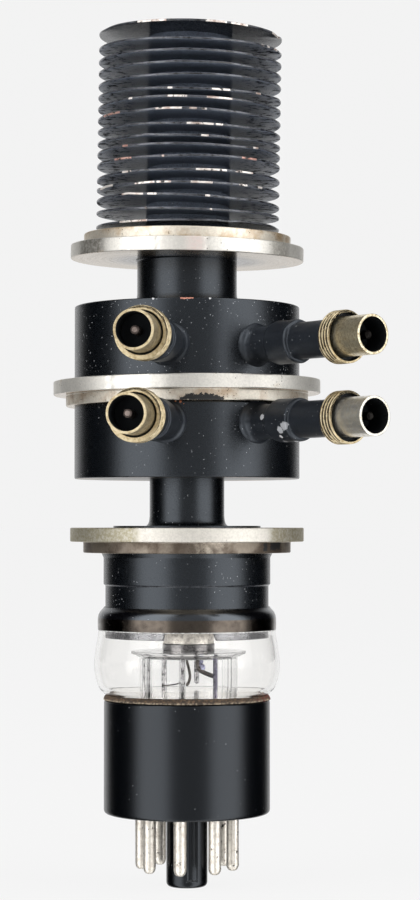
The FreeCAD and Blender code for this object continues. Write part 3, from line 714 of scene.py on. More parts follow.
class Finishes:
    """Every material, made once."""

    def __init__(self) -> None:
        """Make the effects and then the materials."""
        effects = Effects()
        recipes = {
            Finish.PAINT: BlackPaint(),
            Finish.FIN: FinPaint(),
            Finish.NICKEL: NickelPlate(),
            Finish.PORT: PlainMetal("worn plate", linear(232, 229, 220), linear(206, 199, 182), 0.3, 1500.0,
                0.9, 0.2),
            Finish.WARM_PORT: PlainMetal("warm plate", linear(198, 184, 152), linear(160, 142, 108), 0.36,
                1500.0, 0.85, 0.3),
            Finish.DULL_PORT: PlainMetal("dull plate", linear(226, 216, 188), linear(166, 149, 114), 0.3,
                2000.0, 0.9, 0.4),
            # Dark thread roots: painted shade in the thread's hollows.
            Finish.THREAD_ROOT_SHADE: PlainMetal("thread root", linear(58, 48, 32), linear(20, 16, 12), 0.5,
                1500.0, 0.5),
            Finish.PIN: PlainMetal("tinned pin", linear(226, 221, 212), linear(200, 193, 182), 0.42, 1200.0,
                0.8, 1.1),
            Finish.MOULDING: Moulding(),
            Finish.GLASS: ClearGlass(),
            Finish.STEM: ClearGlass("stem glass", (0.985, 0.985, 0.985), 0.0, 1.2),
            Finish.BEAD: Moulding("sealing glass", linear(3, 3, 3), 0.8),
            Finish.CEMENT: Cement(),
            Finish.GUN: PlainMetal("gun nickel", linear(200, 200, 200), linear(120, 118, 116), 0.3),
            Finish.WIRE: PlainMetal("heater wire", linear(220, 218, 208), linear(150, 146, 140), 0.5),
            Finish.COPPER: PlainMetal("copper", linear(206, 138, 108), linear(150, 92, 68), 0.3),
            Finish.SHOULDER: ShoulderPaint(),
            Finish.MICA: ClearGlass("clouded mica", (0.985, 0.98, 0.975), 0.05, 1.12),
            Finish.DARK: PlainMetal("dark metal", linear(112, 110, 110), linear(60, 58, 58), 0.2),
            Finish.TUBE: BlackPaint("tube paint", linear(24, 27, 32), roughness=0.4, dust_share=0.9),
            # Darker copy of the inner conductor for the right ports: painted shade deep in their bores.
            Finish.SHADED_INNER: PlainMetal("dark inner conductor", linear(40, 38, 36), linear(20, 18, 18),
                0.5, 900.0),
            Finish.ORANGE_PAINT: WornPaint("orange marked paint", marks=tuple(
                Mark(x, -21.25, z, size, linear(186, 116, 78)) for x, z, size in
                ((-4.2, 76.8, 0.22), (-3.1, 76.6, 0.28), (-2.2, 76.9, 0.22), (-1.2, 76.85, 0.25),
                    (-0.6, 76.5, 0.14)))),
            Finish.WORN_PAINT: WornPaint(
                dust_share=2.2,
                turns=(-3.2, 3.2),
                heights=(95.6, 96.0),
                marks=(Mark(-6.2, -20.5, 95.8, 0.25), Mark(4.2, -21.0, 95.8, 0.25))),
            Finish.CHIPPED_PAINT: WornPaint("chipped paint", linear(24, 27, 32), roughness=0.4, marks=(
                Mark(13.6, -22.8, 74.0, 0.5, linear(196, 197, 200)),
                Mark(16.7, -27.4, 71.5, 0.75, linear(188, 190, 194)),
                Mark(17.3, -28.7, 72.1, 0.8, linear(180, 182, 186)),
                Mark(16.9, -26.2, 70.3, 0.4),
                Mark(17.8, -24.7, 69.5, 0.5, linear(150, 150, 152)),
                Mark(19.6, -26.5, 69.4, 0.4),
                Mark(18.3, -30.3, 72.9, 0.2),
                Mark(18.8, -30.8, 72.4, 0.2))),
            Finish.INNER: PlainMetal("inner conductor", linear(132, 120, 114), linear(84, 74, 70), 0.5,
                900.0),
            Finish.VIOLET: PlainMetal("dark violet rod", linear(98, 94, 112), linear(34, 32, 40), 0.25,
                1500.0),
            Finish.LEAD: PlainMetal("dark lead", linear(86, 80, 76), linear(24, 22, 20), 0.35, 1500.0),
            Finish.MOTTLED: PlainMetal("mottled rod", linear(190, 188, 190), linear(24, 22, 24), 0.3,
                1300.0),
            Finish.FOIL: PlainMetal("bluish foil", linear(196, 198, 226), linear(70, 70, 96), 0.3, 1600.0),
            Finish.BARE: BareRim(),
            Finish.COPPER_RIM: BareRim("copper rim", linear(214, 176, 164), linear(160, 112, 100)),
            # Collector paint lifted to a pale blue-grey: painted reflection of the front on the black paint
            # seen between the fins; the specks are dust.
            Finish.COLLECTOR: BlackPaint("collector paint, dusty, with painted reflection", linear(92, 99, 112), roughness=0.62,
                dust_share=0.8),
            Finish.RIM: RubbedRim(),
            Finish.SKIRT: PlainMetal("cup metal", linear(118, 118, 120), linear(96, 96, 98), 0.2, 300.0),
            Finish.AMBER: PlainMetal("amber seal", linear(86, 79, 72), linear(68, 62, 57), 0.16, 500.0),
            # Near-white band at the paint's lower edge: a painted highlight where the glass catches light
            # at that edge.
            Finish.EDGE_HIGHLIGHT: PlainMetal("painted highlight along the paint's edge", linear(226, 226, 224), linear(120, 118, 116), 0.4,
                1500.0, 0.1),
            # The darker olive and grey side sectors on the lower and upper rims paint the shade toward the
            # rim's left and right sides, mottled like tarnish by the cloud.
            Finish.LOWER_RIM: NickelPlate("lower rim nickel", linear(204, 200, 192), roughness=0.54,
                cover=0.15, sectors=(
                (-86.0, -24.0, linear(146, 139, 112)), (44.0, 86.0, linear(140, 132, 106)))),
            Finish.UPPER_RIM: NickelPlate("upper rim nickel", sectors=(
                (-64.0, -44.0, linear(120, 116, 108)), (-14.0, -1.0, linear(196, 192, 186)),
                (0.0, 8.0, linear(222, 206, 200)),
                (44.0, 58.0, linear(150, 146, 138)))),
            Finish.FLOOR: PlainMetal("glass floor", linear(252, 250, 247), linear(240, 236, 230), 0.06,
                300.0),
            # Bare bottom of the lower cavity, facing down: its dark grey base is painted shade, and the
            # neck shade darkens it further toward the neck.
            Finish.BOTTOM: NickelPlate("bare cavity bottom", linear(104, 104, 104), roughness=0.3,
                cover=0.9, neck_shade_radius=13.5),
            Finish.STEP: NickelPlate(
                "dull nickel", linear(126, 117, 106), linear(70, 58, 48), cover=0.9,
                smears=((46.0, 49.0, 49.6, 51.1), (51.5, 62.0, 49.9, 51.2)),
                sectors=((-3.0, 22.0, linear(196, 186, 172)),)),
            Finish.TAN: NickelPlate("tan nickel", linear(214, 206, 192), linear(170, 142, 104), cover=0.8),
            # Flange faces that look down: a darker copy of the nickel, painted shade, with the neck shade
            # toward the bore.
            Finish.POLISHED: NickelPlate("underside nickel", linear(146, 145, 144), roughness=0.2,
                cover=1.6, neck_shade_radius=10.5),
            Finish.SMEARED: NickelPlate(
                "smeared nickel", linear(216, 210, 198), linear(170, 148, 124), cover=0.7,
                smears=((-3.5, 16.5, 77.0, 77.8), (-1.0, 12.0, 77.0, 78.25)),
            ),
            # Near black for the port's groove and bore: painted shade in those recesses.
            Finish.RECESS_SHADE: Moulding("blackened metal", linear(4, 4, 4), 0.6),
            Finish.GETTER: PlainMetal("mottled sleeve", linear(246, 240, 230), linear(196, 188, 180), 0.34,
                1500.0, 0.8, 1.0),
        }
        self.made = {kind: recipe.make(effects) for kind, recipe in recipes.items()}

    def dress(self, node: str, kind: Finish) -> None:
        """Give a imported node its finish."""
        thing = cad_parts[node]
        thing.data.materials.clear()
        thing.data.materials.append(self.made[kind])
        log.info("dressed %s in %s", node, kind.value)


@dataclass(frozen=True)
class Station:
    """One place on a turned outline: radius, height and the outward normal there."""

    radius: float
    height: float
    out: float
    up: float


def straight_stations(start: Vector, end: Vector, step: float) -> list[Station]:
    """Return the stations of a straight run, its ends included.

    Args:
        start, end: (radius, height) of the ends.
        step: longest distance between two stations.

    Returns:
        The stations in order.
    """
    way = end - start
    count = max(1, math.ceil(way.length / step))
    along = way.normalized()
    spots = [start + way * (index / count) for index in range(count + 1)]
    return [Station(spot.x, spot.y, along.y, -along.x) for spot in spots]


def outline(corners: Profile, rounding: float, closed: bool = True, step: float = 1.0,
        bends: int = 4) -> list[Station]:
    """Round the corners of a turned outline.

    Args:
        corners: (radius, height) in metres, the solid on the left of each run.
        rounding: how far from each corner its bend starts.
        closed: whether the last corner joins the first.
        step: longest straight distance between stations.
        bends: stations in each bend.

    Returns:
        The stations in order.
    """
    spots = [Vector(corner) for corner in corners]
    count = len(spots)
    ends: list[tuple[Vector, Vector]] = []
    for index, spot in enumerate(spots):
        before, after = spots[index - 1], spots[(index + 1) % count]
        if not closed and index in (0, count - 1):
            ends.append((spot, spot))
            continue
        cut = min(rounding, (spot - before).length * 0.45, (after - spot).length * 0.45)
        ends.append((spot + (before - spot).normalized() * cut, spot + (after - spot).normalized() * cut))
    stations: list[Station] = []
    for index in range(count if closed else count - 1):
        here, there = ends[index][1], ends[(index + 1) % count][0]
        stations += straight_stations(here, there, step)
        corner = spots[(index + 1) % count]
        leave = ends[(index + 1) % count][1]
        if (leave - there).length < 1e-9:
            continue
        for turn in range(1, bends):
            share = turn / bends
            spot = there.lerp(corner, share).lerp(corner.lerp(leave, share), share)
            along = (corner - there).normalized().lerp((leave - corner).normalized(), share).normalized()
            stations.append(Station(spot.x, spot.y, along.y, -along.x))
    return stations


def smooth_line(points: Profile, per_span: int = 8) -> Profile:
    """Return a smooth curve through the points, a few places to each span."""
    spots = [Vector(point) for point in points]
    spots = [2 * spots[0] - spots[1], *spots, 2 * spots[-1] - spots[-2]]
    line: Profile = []
    for index in range(1, len(spots) - 2):
        a, b, c, d = spots[index - 1:index + 3]
        for part in range(per_span):
            t = part / per_span
            spot = 0.5 * (2 * b + (c - a) * t + (2 * a - 5 * b + 4 * c - d) * t**2 + (
                    3 * b - a - 3 * c + d) * t**3)
            line.append((spot.x, spot.y))
    line.append((spots[-2].x, spots[-2].y))
    return line


def curve_stations(line: Profile) -> list[Station]:
    """Return stations along a fine line, with normals from its neighbours."""
    spots = [Vector(point) for point in line]
    stations = []
    for index, spot in enumerate(spots):
        along = spots[min(index + 1, len(spots) - 1)] - spots[max(index - 1, 0)]
        along.normalize()
        stations.append(Station(spot.x, spot.y, along.y, -along.x))
    return stations


Shift = Callable[[float, float, float], tuple[float, float]]


def unmoved(_turn: float, _radius: float, _height: float) -> tuple[float, float]:
    """Leave a turned surface as it is."""
    return 0.0, 0.0


class Surface:
    """Points, faces and normals gathered for one piece."""

    def __init__(self) -> None:
        """Start empty."""
        self.points: list[Vector] = []
        self.normals: list[Vector] = []
        self.faces: list[tuple[int, ...]] = []
        self.kinds: list[int] = []

    def turned(
        self,
        stations: list[Station],
        segments: int,
        closed: bool = True,
        shift: Shift = unmoved,
        place: Matrix = Matrix.Identity(4),
        kind: Callable[[float, Station], int] = lambda _turn, _station: 0,
    ) -> "Surface":
        """Revolve an outline about +Z.

        Args:
            stations: the outline.
            segments: steps round the axis.
            closed: whether the outline's end joins its start.
            shift: (turn, radius, height) to how far the surface stands out and up.
            place: where the turned piece goes.
            kind: bearing and station to the material's index.

        Returns:
            This surface.
        """
        first = len(self.points)
        count = len(stations)
        spin = place.to_3x3()
        for index in range(segments):
            turn = 2 * math.pi * index / segments
            for station in stations:
                point, normal = self.shifted(station, turn, shift)
                self.points.append(place @ point)
                self.normals.append((spin @ normal).normalized())
        for index in range(segments):
            here, there = first + index * count, first + (index + 1) % segments * count
            for row in range(count if closed else count - 1):
                after = (row + 1) % count
                self.faces.append((here + row, there + row, there + after, here + after))
                middle = Station(*((a + b) / 2 for a, b in zip(astuple(stations[row]),
                            astuple(stations[after]))))
                self.kinds.append(kind(2 * math.pi * (index + 0.5) / segments, middle))
        return self

    @staticmethod
    def shifted(station: Station, turn: float, shift: Shift) -> tuple[Vector, Vector]:
        """Return the point and normal of a station after its shift.

        Args:
            station: the place on the outline.
            turn: bearing in radians from the front.
            shift: how far the surface stands out and up.

        Returns:
            The point and its normal.
        """
        near = 1e-6
        side, rise = -station.up, station.out
        out, up = shift(turn, station.radius, station.height)
        out_s, up_s = shift(turn, station.radius + side * near, station.height + rise * near)
        out_t, up_t = shift(turn + 1e-3, station.radius, station.height)
        radius = max(station.radius + out, 1e-7)
        along = (side + (out_s - out) / near, rise + (up_s - up) / near)
        across = ((out_t - out) / 1e-3, (up_t - up) / 1e-3)
        local = (radius * along[1], across[1] * along[0] - across[0] * along[1], -radius * along[0])
        sine, cosine = math.sin(turn), math.cos(turn)
        point = Vector((radius * sine, -radius * cosine, station.height + up))
        normal = Vector((local[0] * sine + local[1] * cosine, -local[0] * cosine + local[1] * sine,
                local[2]))
        return point, normal

    def swept(self, path: list[Vector], radius: float, sides: int = 10, kind: int = 0) -> "Surface":
        """Draw round wire along a path, with domed ends.

        Args:
            path: the wire's centre line.
            radius: the wire's radius.
            sides: steps round the wire.
            kind: the material's index.

        Returns:
            This surface.
        """
        first = len(self.points)
        side = None
        rings = 0
        for index, spot in enumerate(path):
            along = (path[min(index + 1, len(path) - 1)] - path[max(index - 1, 0)]).normalized()
            if side is None:
                side = along.orthogonal().normalized()
            side = (side - along * side.dot(along)).normalized()
            other = along.cross(side)
            at_end = index in (0, len(path) - 1)
            outward = -along if index == 0 else along
            caps = [(0.05, 0.98), (0.7, 0.7), (1.0, 0.0)] if at_end else [(1.0, 0.0)]
            if index == len(path) - 1:
                caps.reverse()
            for share, reach in caps:
                for step in range(sides):
                    angle = 2 * math.pi * step / sides
                    spoke = side * math.cos(angle) + other * math.sin(angle)
                    self.points.append(spot + spoke * radius * share + outward * radius * reach * (
                            1 if at_end else 0))
                    self.normals.append((spoke * share + outward * reach * (1 if at_end else 0)).normalized(
                            ))
                rings += 1
        for ring in range(rings - 1):
            for step in range(sides):
                a, b = first + ring * sides + step, first + ring * sides + (step + 1) % sides
                self.faces.append((a, b, b + sides, a + sides))
                self.kinds.append(kind)
        for lid in (list(range(sides))[::-1], [(rings - 1) * sides + step for step in range(sides)]):
            self.faces.append(tuple(first + step for step in lid))
            self.kinds.append(kind)
        return self

    def piece(self, name: str, slot: str, materials: list[bpy.types.Material],
            nodes: list[str]) -> bpy.types.Object:
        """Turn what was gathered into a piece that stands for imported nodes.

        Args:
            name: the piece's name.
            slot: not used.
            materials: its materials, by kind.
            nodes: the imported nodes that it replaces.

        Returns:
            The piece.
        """
        mesh = bpy.data.meshes.new(name)
        mesh.from_pydata(self.points, [], self.faces)
        for material in materials:
            mesh.materials.append(material)
        mesh.polygons.foreach_set("material_index", self.kinds)
        mesh.polygons.foreach_set("use_smooth", [True] * len(self.faces))
        mesh.normals_split_custom_set_from_vertices(self.normals)
        made = bpy.data.objects.new(name, mesh)
        bpy.context.scene.collection.objects.link(made)
        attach(made, ROOT)
        if nodes:
            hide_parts(*nodes)
        log.info("%s: %d faces, stands for %s", name, len(self.faces), ", ".join(nodes) or "trim")
        return made


def millimetres(corners: Profile) -> Profile:
    """Turn corners in millimetres into metres."""
    return [(radius * MM, height * MM) for radius, height in corners]


@dataclass
class Base:
    """Octal base: moulding with its key, pins, and the cement above."""

    finishes: Finishes
    radius: float = 15.75
    height: float = 21.45
    wall: float = 1.5
    floor: float = 3.2
    foot_round: float = 0.8
    key_radius: float = 3.9
    key_length: float = 13.9
    key_ridge: float = 0.45
    key_turn: float = 14.1
    key_ridge_half_angle: float = 17.0
    pin_radius: float = 1.18
    pin_length: float = 10.8
    pin_circle: float = 8.725
    first_pin_turn: float = -8.4
    cement_height: float = 0.9
    cement_spread: float = 0.12

    def build(self) -> None:
        """Make the moulding, the pins and the cement."""
        self.moulding()
        self.pins()
        self.cement()

    def moulding(self) -> None:
        """Turned shell with the ridged key under it."""
        r, h, w = self.radius, self.height, self.wall
        corners = [(0, 0), (r, 0), (r, h), (r - w, h), (r - w, self.floor), (0, self.floor)]
        surface = Surface()
        surface.turned(outline(millimetres(corners), self.foot_round * MM, closed=False, step=4 * MM,
                bends=6), 128, closed=False)
        key = [(0, -self.key_length), (self.key_radius, -self.key_length), (self.key_radius, 0.2)]
        surface.turned(outline(millimetres(key), 1.0 * MM, closed=False, step=0.5 * MM, bends=6), 240,
            closed=False, shift=self.ridge)
        surface.piece("base_moulding", "moulding", [self.finishes.made[Finish.MOULDING]], ["base_shell"])

    def ridge(self, turn: float, radius: float, height: float) -> tuple[float, float]:
        """Return how far the locating ridge and its fine edge lines stand out."""
        if radius < 0.8 * self.key_radius * MM:
            return 0.0, 0.0
        off = math.degrees(turn) - self.key_turn
        off = abs((off + 180) % 360 - 180)
        flank = min(1.0, max(0.0, (self.key_ridge_half_angle - off) / 2.5))
        lines = sum(math.exp(-(((off - place) / 1.5) ** 2)) for place in (0.0, 13.0))
        low = min(1.0, max(0.0, (height / MM + self.key_length - 1.3) / 0.5))
        return (self.key_ridge * flank - 0.08 * (1 - flank) * lines + 0.1 * lines * flank) * MM * low, 0.0

    def pins(self) -> None:
        """Eight tinned pins with soldered tips, each a little different."""
        chance = random.Random(8)
        surface = Surface()
        for index in range(8):
            turn = math.radians(self.first_pin_turn + 45 * index)
            spot = Matrix.Translation(
                Vector((self.pin_circle * math.sin(turn), -self.pin_circle * math.cos(turn), 0)) * MM)
            r, low = self.pin_radius, -self.pin_length
            blob = 0.06 * chance.random()
            tip = [(0, low), (0.45 * r, low + 0.03), (0.8 * r, low + 0.35), (0.97 * r + blob, low + 0.95),
                (r, low + 1.6)]
            line = smooth_line(millimetres(tip), 5)
            stations = curve_stations(line) + straight_stations(Vector(line[-1]),
                Vector((r * MM, self.floor * MM)), 3 * MM)
            phase = chance.random() * 6

            def seam(bearing: float, radius: float, height: float, phase: float = phase) -> tuple[float,
                    float]:
                """Return a faint seam and the solder's slight swell."""
                if radius < 0.5 * r * MM:
                    return 0.0, 0.0
                gap = math.exp(-(((math.degrees(bearing) - 150) / 5) ** 2)) * 0.05
                return (0.012 * math.sin(height / MM * 2.1 + phase) - gap) * MM, 0.0

            surface.turned(stations, 40, closed=False, shift=seam,
                place=spot @ Matrix.Rotation(chance.random() * 6, 4, "Z"))
        surface.piece("tinned_pins", "pins", [self.finishes.made[Finish.PIN]], ["base_pins"])

    def cement(self) -> None:
        """Uneven bead of cement on the base's rim."""
        low, high = self.height, self.height + self.cement_height
        corners = [(13.6, low - 2), (14.15, low - 2), (14.15, low), (self.radius + self.cement_spread, low),
                   (self.radius - 0.05, low + 0.5), (self.radius - 0.35, high), (13.6, high)]

        def lumps(turn: float, radius: float, height: float) -> tuple[float, float]:
            """Return the cement's uneven edge."""
            if radius < 15.0 * MM:
                return 0.0, 0.0
            swell = 0.07 * math.sin(9 * turn + 1) + 0.05 * math.sin(23 * turn) + 0.03 * math.sin(
                47 * turn + 2)
            return min(swell, 0.05) * MM, 0.5 * swell * MM if height > (low + 0.3) * MM else 0.0

        surface = Surface().turned(outline(millimetres(corners), 0.12 * MM, step=1.0 * MM), 240,
            shift=lumps)
        surface.piece("cement_bead", "cement", [self.finishes.made[Finish.CEMENT]], ["base_cement"])


@dataclass
class Bulb:
    """Blown glass bulb, the paint over its shoulder and the pressed stem inside."""

    finishes: Finishes
    foot_z: float = 18.45
    foot_radius: float = 14.1
    wall: float = 0.9
    line: tuple[tuple[float, float], ...] = (
        (14.1, 21.45), (15.9, 22.75), (16.95, 24.25), (17.65, 27.55), (17.35, 31.05), (16.88, 33.85),
        (16.8, 37.25), (15.7, 38.9),
    )
    paint_from: float = 34.55
    band_top: float = 36.9
    stem_radius: float = 9.35
    stem_lip: float = 10.9
    stem_top: float = 30.33
    stem_wall: float = 0.25
    shelf_z: float = 22.75
    shelf_thickness: float = 0.5
    shelf_radius: float = 14.7
    stem_shift: float = 0.3

    def build(self) -> None:
        """Make the glass, the painted shoulder and the stem."""
        self.envelope()
        self.shoulder()
        self.stem()

    def outer(self) -> Profile:
        """Return the glass's outer line in metres."""
        return smooth_line(millimetres(list(self.line)), 8)

    def envelope(self) -> None:
        """Outer and inner skins of the bulb, joined at the foot and at the cup."""
        outer = curve_stations(self.outer())
        foot = straight_stations(Vector((self.foot_radius, self.foot_z)) * MM, Vector(self.outer()[0]),
            1 * MM)
        inner = []
        for station in reversed(foot[:-1] + outer):
            radius = station.radius - station.out * self.wall * MM
            height = station.height - station.up * self.wall * MM
            inner.append(Station(radius, max(min(height, 38.85 * MM), self.foot_z * MM), -station.out,
                    -station.up))
        surface = Surface().turned(foot[:-1] + outer + inner, 160)
        surface.piece("bulb", "bulb_glass", [self.finishes.made[Finish.GLASS]], ["glass_envelope"])

    def shoulder(self) -> None:
        """Coat of paint over the glass from the cup down to its ragged lower edge."""
        line = [spot for spot in self.outer() if spot[1] > (self.paint_from - 0.9) * MM]
        stations = []
        for station in curve_stations(line):
            proud = 0.07 * MM
            stations.append(Station(station.radius + station.out * proud,
                    station.height + station.up * proud, station.out, station.up))
        floor = self.paint_from * MM
        kept = [station for station in stations if station.height > floor]
        first = kept[0]
        kept[:0] = [Station(first.radius, floor + rise * MM, first.out, first.up) for rise in (0.0, 0.36) if
                    floor + rise * MM < first.height]
        under = [Station(s.radius - s.out * 0.05 * MM, s.height - s.up * 0.05 * MM, -s.out,
                -s.up) for s in reversed(kept)]

        def kind(_turn: float, station: Station) -> int:
            """Return paint above, the thinner brown band below it, and a painted highlight along the lower
            edge.
            """
            return 0 if station.height > self.band_top * MM else 1 if station.height > (
                self.paint_from + 0.36) * MM else 2

        made = self.finishes.made
        Surface().turned(kept + under, 160, kind=kind).piece(
            "painted_shoulder", "body_paint", [made[Finish.SHOULDER], made[Finish.AMBER],
                made[Finish.EDGE_HIGHLIGHT]], [])

    def stem(self) -> None:
        """Thin tube with a lip round its top, on a flat shelf that reaches the bulb's wall."""
        r, top, w = self.stem_radius, self.stem_top, self.stem_wall
        shelf = self.shelf_z + 0.02
        corners = [(r - w, shelf), (r, shelf), (r, top - 0.95), (self.stem_lip, top - 0.2),
            (self.stem_lip, top), (r - w, top)]
        place = Matrix.Translation((self.stem_shift * MM, 0, 0))
        surface = Surface().turned(outline(millimetres(corners), 0.2 * MM, step=3 * MM, bends=5), 128,
            place=place)
        low, wide = self.shelf_z - self.shelf_thickness, self.shelf_radius
        floor = [(0, low), (wide - 0.5, low), (wide, self.shelf_z), (0, self.shelf_z)]
        stations = outline(millimetres(floor), 0.1 * MM, closed=False, step=3 * MM)
        surface.turned(stations, 128, closed=False, kind=lambda _turn, _station: 1)
        surface.piece("pressed_stem", "stem_glass", [self.finishes.made[Finish.STEM],
                self.finishes.made[Finish.FLOOR]], ["glass_stem"])


@dataclass(frozen=True)
class Rod:
    """One rod through the stem: its side, front or back, finish, lower end and sleeve."""

    x: float
    front: bool
    kind: int
    low: float = 5.4
    radius: float = 0.4
    sleeved: bool = False


@dataclass
class Gun:
    """What stands on the stem: rods, mica, cathode, heater and focusing cup."""

    finishes: Finishes
    shift: float = 0.3
    disc_radius: float = 10.9
    disc_z: float = 30.35
    disc_thickness: float = 0.25
    rod_circle: float = 8.62
    sleeve_radius: float = 0.68
    cathode_radius: float = 4.85
    cathode_top: float = 43.5
    collar_top: float = 31.9
    rods_in_place: tuple[Rod, ...] = (
        Rod(-0.86, True, 1, radius=0.3, sleeved=True), Rod(5.25, True, 0, radius=0.42),
        Rod(8.7, True, 3, 23.3, 0.3, True), Rod(7.4, False, 3, 23.3, 0.3, True),
        Rod(1.9, False, 1, 24.2, 0.5),
        Rod(-4.45, False, 1, radius=0.5), Rod(-8.2, False, 1, radius=0.45),
        Rod(-7.1, True, 1, radius=0.25, sleeved=True),
    )

    def build(self) -> None:
        """Make and dress every part of the gun."""
        self.rods()
        self.disc()
        self.cathode()
        self.wires()
        self.finishes.dress("heater", Finish.WIRE)
        self.finishes.dress("focus_cup", Finish.GUN)

    def rods(self) -> None:
        """Stiff rods through the stem, some of them in a sleeve of glass."""
        rods, sleeves = Surface(), Surface()
        for rod in self.rods_in_place:
            depth = math.sqrt(max(0.0, self.rod_circle**2 - (rod.x - self.shift) ** 2))
            spot = Vector((rod.x, -depth if rod.front else depth, 0))
            if rod.kind < 3:
                low, high = spot + Vector((0, 0, rod.low)), spot + Vector((0, 0, self.disc_z - 0.5))
                rods.swept([low * MM, high * MM], rod.radius * MM, 16, rod.kind)
            if rod.sleeved:
                r, s = self.sleeve_radius, max(rod.radius + 0.03, 0.45)
                corners = [(s, 22.8), (r, 22.8), (r, 29.6), (s, 29.6)]
                sleeves.turned(outline(millimetres(corners), 0.2 * MM, step=4 * MM), 24,
                    place=Matrix.Translation(spot * MM))
        made = self.finishes.made
        rods.piece("support_rods", "gun_metal", [made[Finish.VIOLET], made[Finish.MOTTLED],
                made[Finish.GETTER]], ["stem_leads"])
        sleeves.piece("rod_sleeves", "stem_glass", [made[Finish.STEM]], [])

    def disc(self) -> None:
        """Mica disc on the stem's lip."""
        low, high = self.disc_z, self.disc_z + self.disc_thickness
        corners = [(3.2, low), (self.disc_radius, low), (self.disc_radius, high), (3.2, high)]
        place = Matrix.Translation((self.shift * MM, 0, 0))
        Surface().turned(outline(millimetres(corners), 0.08 * MM, step=3 * MM), 128, place=place).piece(
            "mica_disc", "mica", [self.finishes.made[Finish.MICA]], ["gun_disc"])

    def cathode(self) -> None:
        """Mottled pale sleeve above a darker collar."""
        low, r = self.disc_z + self.disc_thickness, self.cathode_radius
        w = 0.35
        corners = [(r - w, low), (r + 0.1, low), (r + 0.1, self.collar_top), (r, self.collar_top + 0.1),
                   (r, self.cathode_top), (0, self.cathode_top), (0, self.cathode_top - w),
                   (r - w, self.cathode_top - w)]
        stations = outline(millimetres(corners), 0.1 * MM, step=2 * MM)
        collar = (self.collar_top + 0.05) * MM
        place = Matrix.Translation((self.shift * MM, 0, 0))
        made = self.finishes.made
        Surface().turned(stations, 96, place=place, kind=lambda _turn,
            spot: 1 if spot.height < collar else 0).piece(
            "cathode_sleeve", "gun_metal", [made[Finish.GETTER], made[Finish.DARK]], ["cathode"])

    def wires(self) -> None:
        """Thin leads inside the stem: a long loop, a slack one left of it and a slanting one right."""
        loop = ((-0.1, -7.6, 29.3), (0.35, -7.6, 27.6), (0.55, -7.6, 26.0), (0.1, -7.6, 24.7),
            (-0.35, -7.6, 24.9))
        slack = ((-0.7, -7.9, 25.5), (-1.6, -7.8, 24.9), (-3.4, -7.4, 24.55), (-4.3, -6.9, 24.5))
        slant = ((2.0, -6.2, 29.2), (2.15, -6.3, 27.6), (3.0, -6.2, 26.9), (4.9, -5.8, 26.1))
        foil = ((2.6, -6.0, 29.0), (2.4, -6.1, 28.3), (2.95, -6.0, 27.8), (2.5, -6.1, 27.3))
        surface = Surface()
        for points, radius, kind in ((loop, 0.26, 0), (slack, 0.12, 0), (slant, 0.42, 0), (foil, 0.5, 1)):
            surface.swept([spot * MM for spot in smooth_path([Vector(point) for point in points])],
                radius * MM, 10, kind)
        made = self.finishes.made
        surface.piece("gun_wires", "gun_metal", [made[Finish.LEAD], made[Finish.FOIL]], [])


def smooth_path(points: list[Vector], per_span: int = 8) -> list[Vector]:
    """Return a smooth line through points in space."""
    spots = [2 * points[0] - points[1], *points, 2 * points[-1] - points[-2]]
    line = []
    for index in range(1, len(spots) - 2):
        a, b, c, d = spots[index - 1:index + 3]
        for part in range(per_span):
            t = part / per_span
            line.append(0.5 * (2 * b + (c - a) * t + (2 * a - 5 * b + 4 * c - d) * t**2 + (
                        3 * b - a - 3 * c + d) * t**3))
    line.append(points[-1])
    return line


@dataclass
class Cup:
    """Drawn metal cup from its skirt inside the glass to the lower flange."""

    finishes: Finishes
    radius: float = 15.5
    wall: float = 0.9
    skirt_z: float = 33.1
    seal_z: float = 38.9
    band_z: float = 43.0
    band_step: float = 0.35
    lip_z: float = 48.3
    lip_flare: float = 0.45
    top_z: float = 49.2

    notch_turns: tuple[float, float] = (-16.5, 20.0)
    notch_rise: float = 2.4

    def build(self) -> None:
        """Make the cup."""
        r, w, band = self.radius, self.wall, self.radius + self.band_step
        corners = [(r - w, self.skirt_z), (r, self.skirt_z), (r, self.band_z), (band, self.band_z + 0.25),
                   (band, self.lip_z), (band + self.lip_flare, self.top_z), (4.5, self.top_z),
                   (4.5, self.top_z - w), (r - w, self.top_z - w)]
        stations = outline(millimetres(corners), 0.14 * MM, step=1.0 * MM, bends=4)
        made = self.finishes.made
        Surface().turned(stations, 240, shift=self.notch, kind=self.kind).piece(
            "metal_cup_painted", "body_paint", [made[Finish.PAINT], made[Finish.SKIRT], made[Finish.RIM]],
            ["metal_cup"])

    def kind(self, _turn: float, station: Station) -> int:
        """Return bare metal for the skirt, a worn line at the band's step, and paint elsewhere."""
        if station.height < (self.seal_z - 0.6) * MM:
            return 1
        on_step = self.band_z * MM < station.height < (self.band_z + 0.2) * MM
        return 2 if on_step and station.radius > self.radius * MM else 0

    def notch(self, turn: float, _radius: float, height: float) -> tuple[float, float]:
        """Return how far the skirt's lower edge is cut back where the cathode shows."""
        low = max(0.0, min(1.0, (self.skirt_z + 3.4 - height / MM) / 3.2))
        off = (math.degrees(turn) + 180) % 360 - 180
        inside = min(1.0, max(0.0, (off - self.notch_turns[0]) / 1.5),
            max(0.0, (self.notch_turns[1] - off) / 1.5))
        return 0.0, self.notch_rise * low * inside * MM


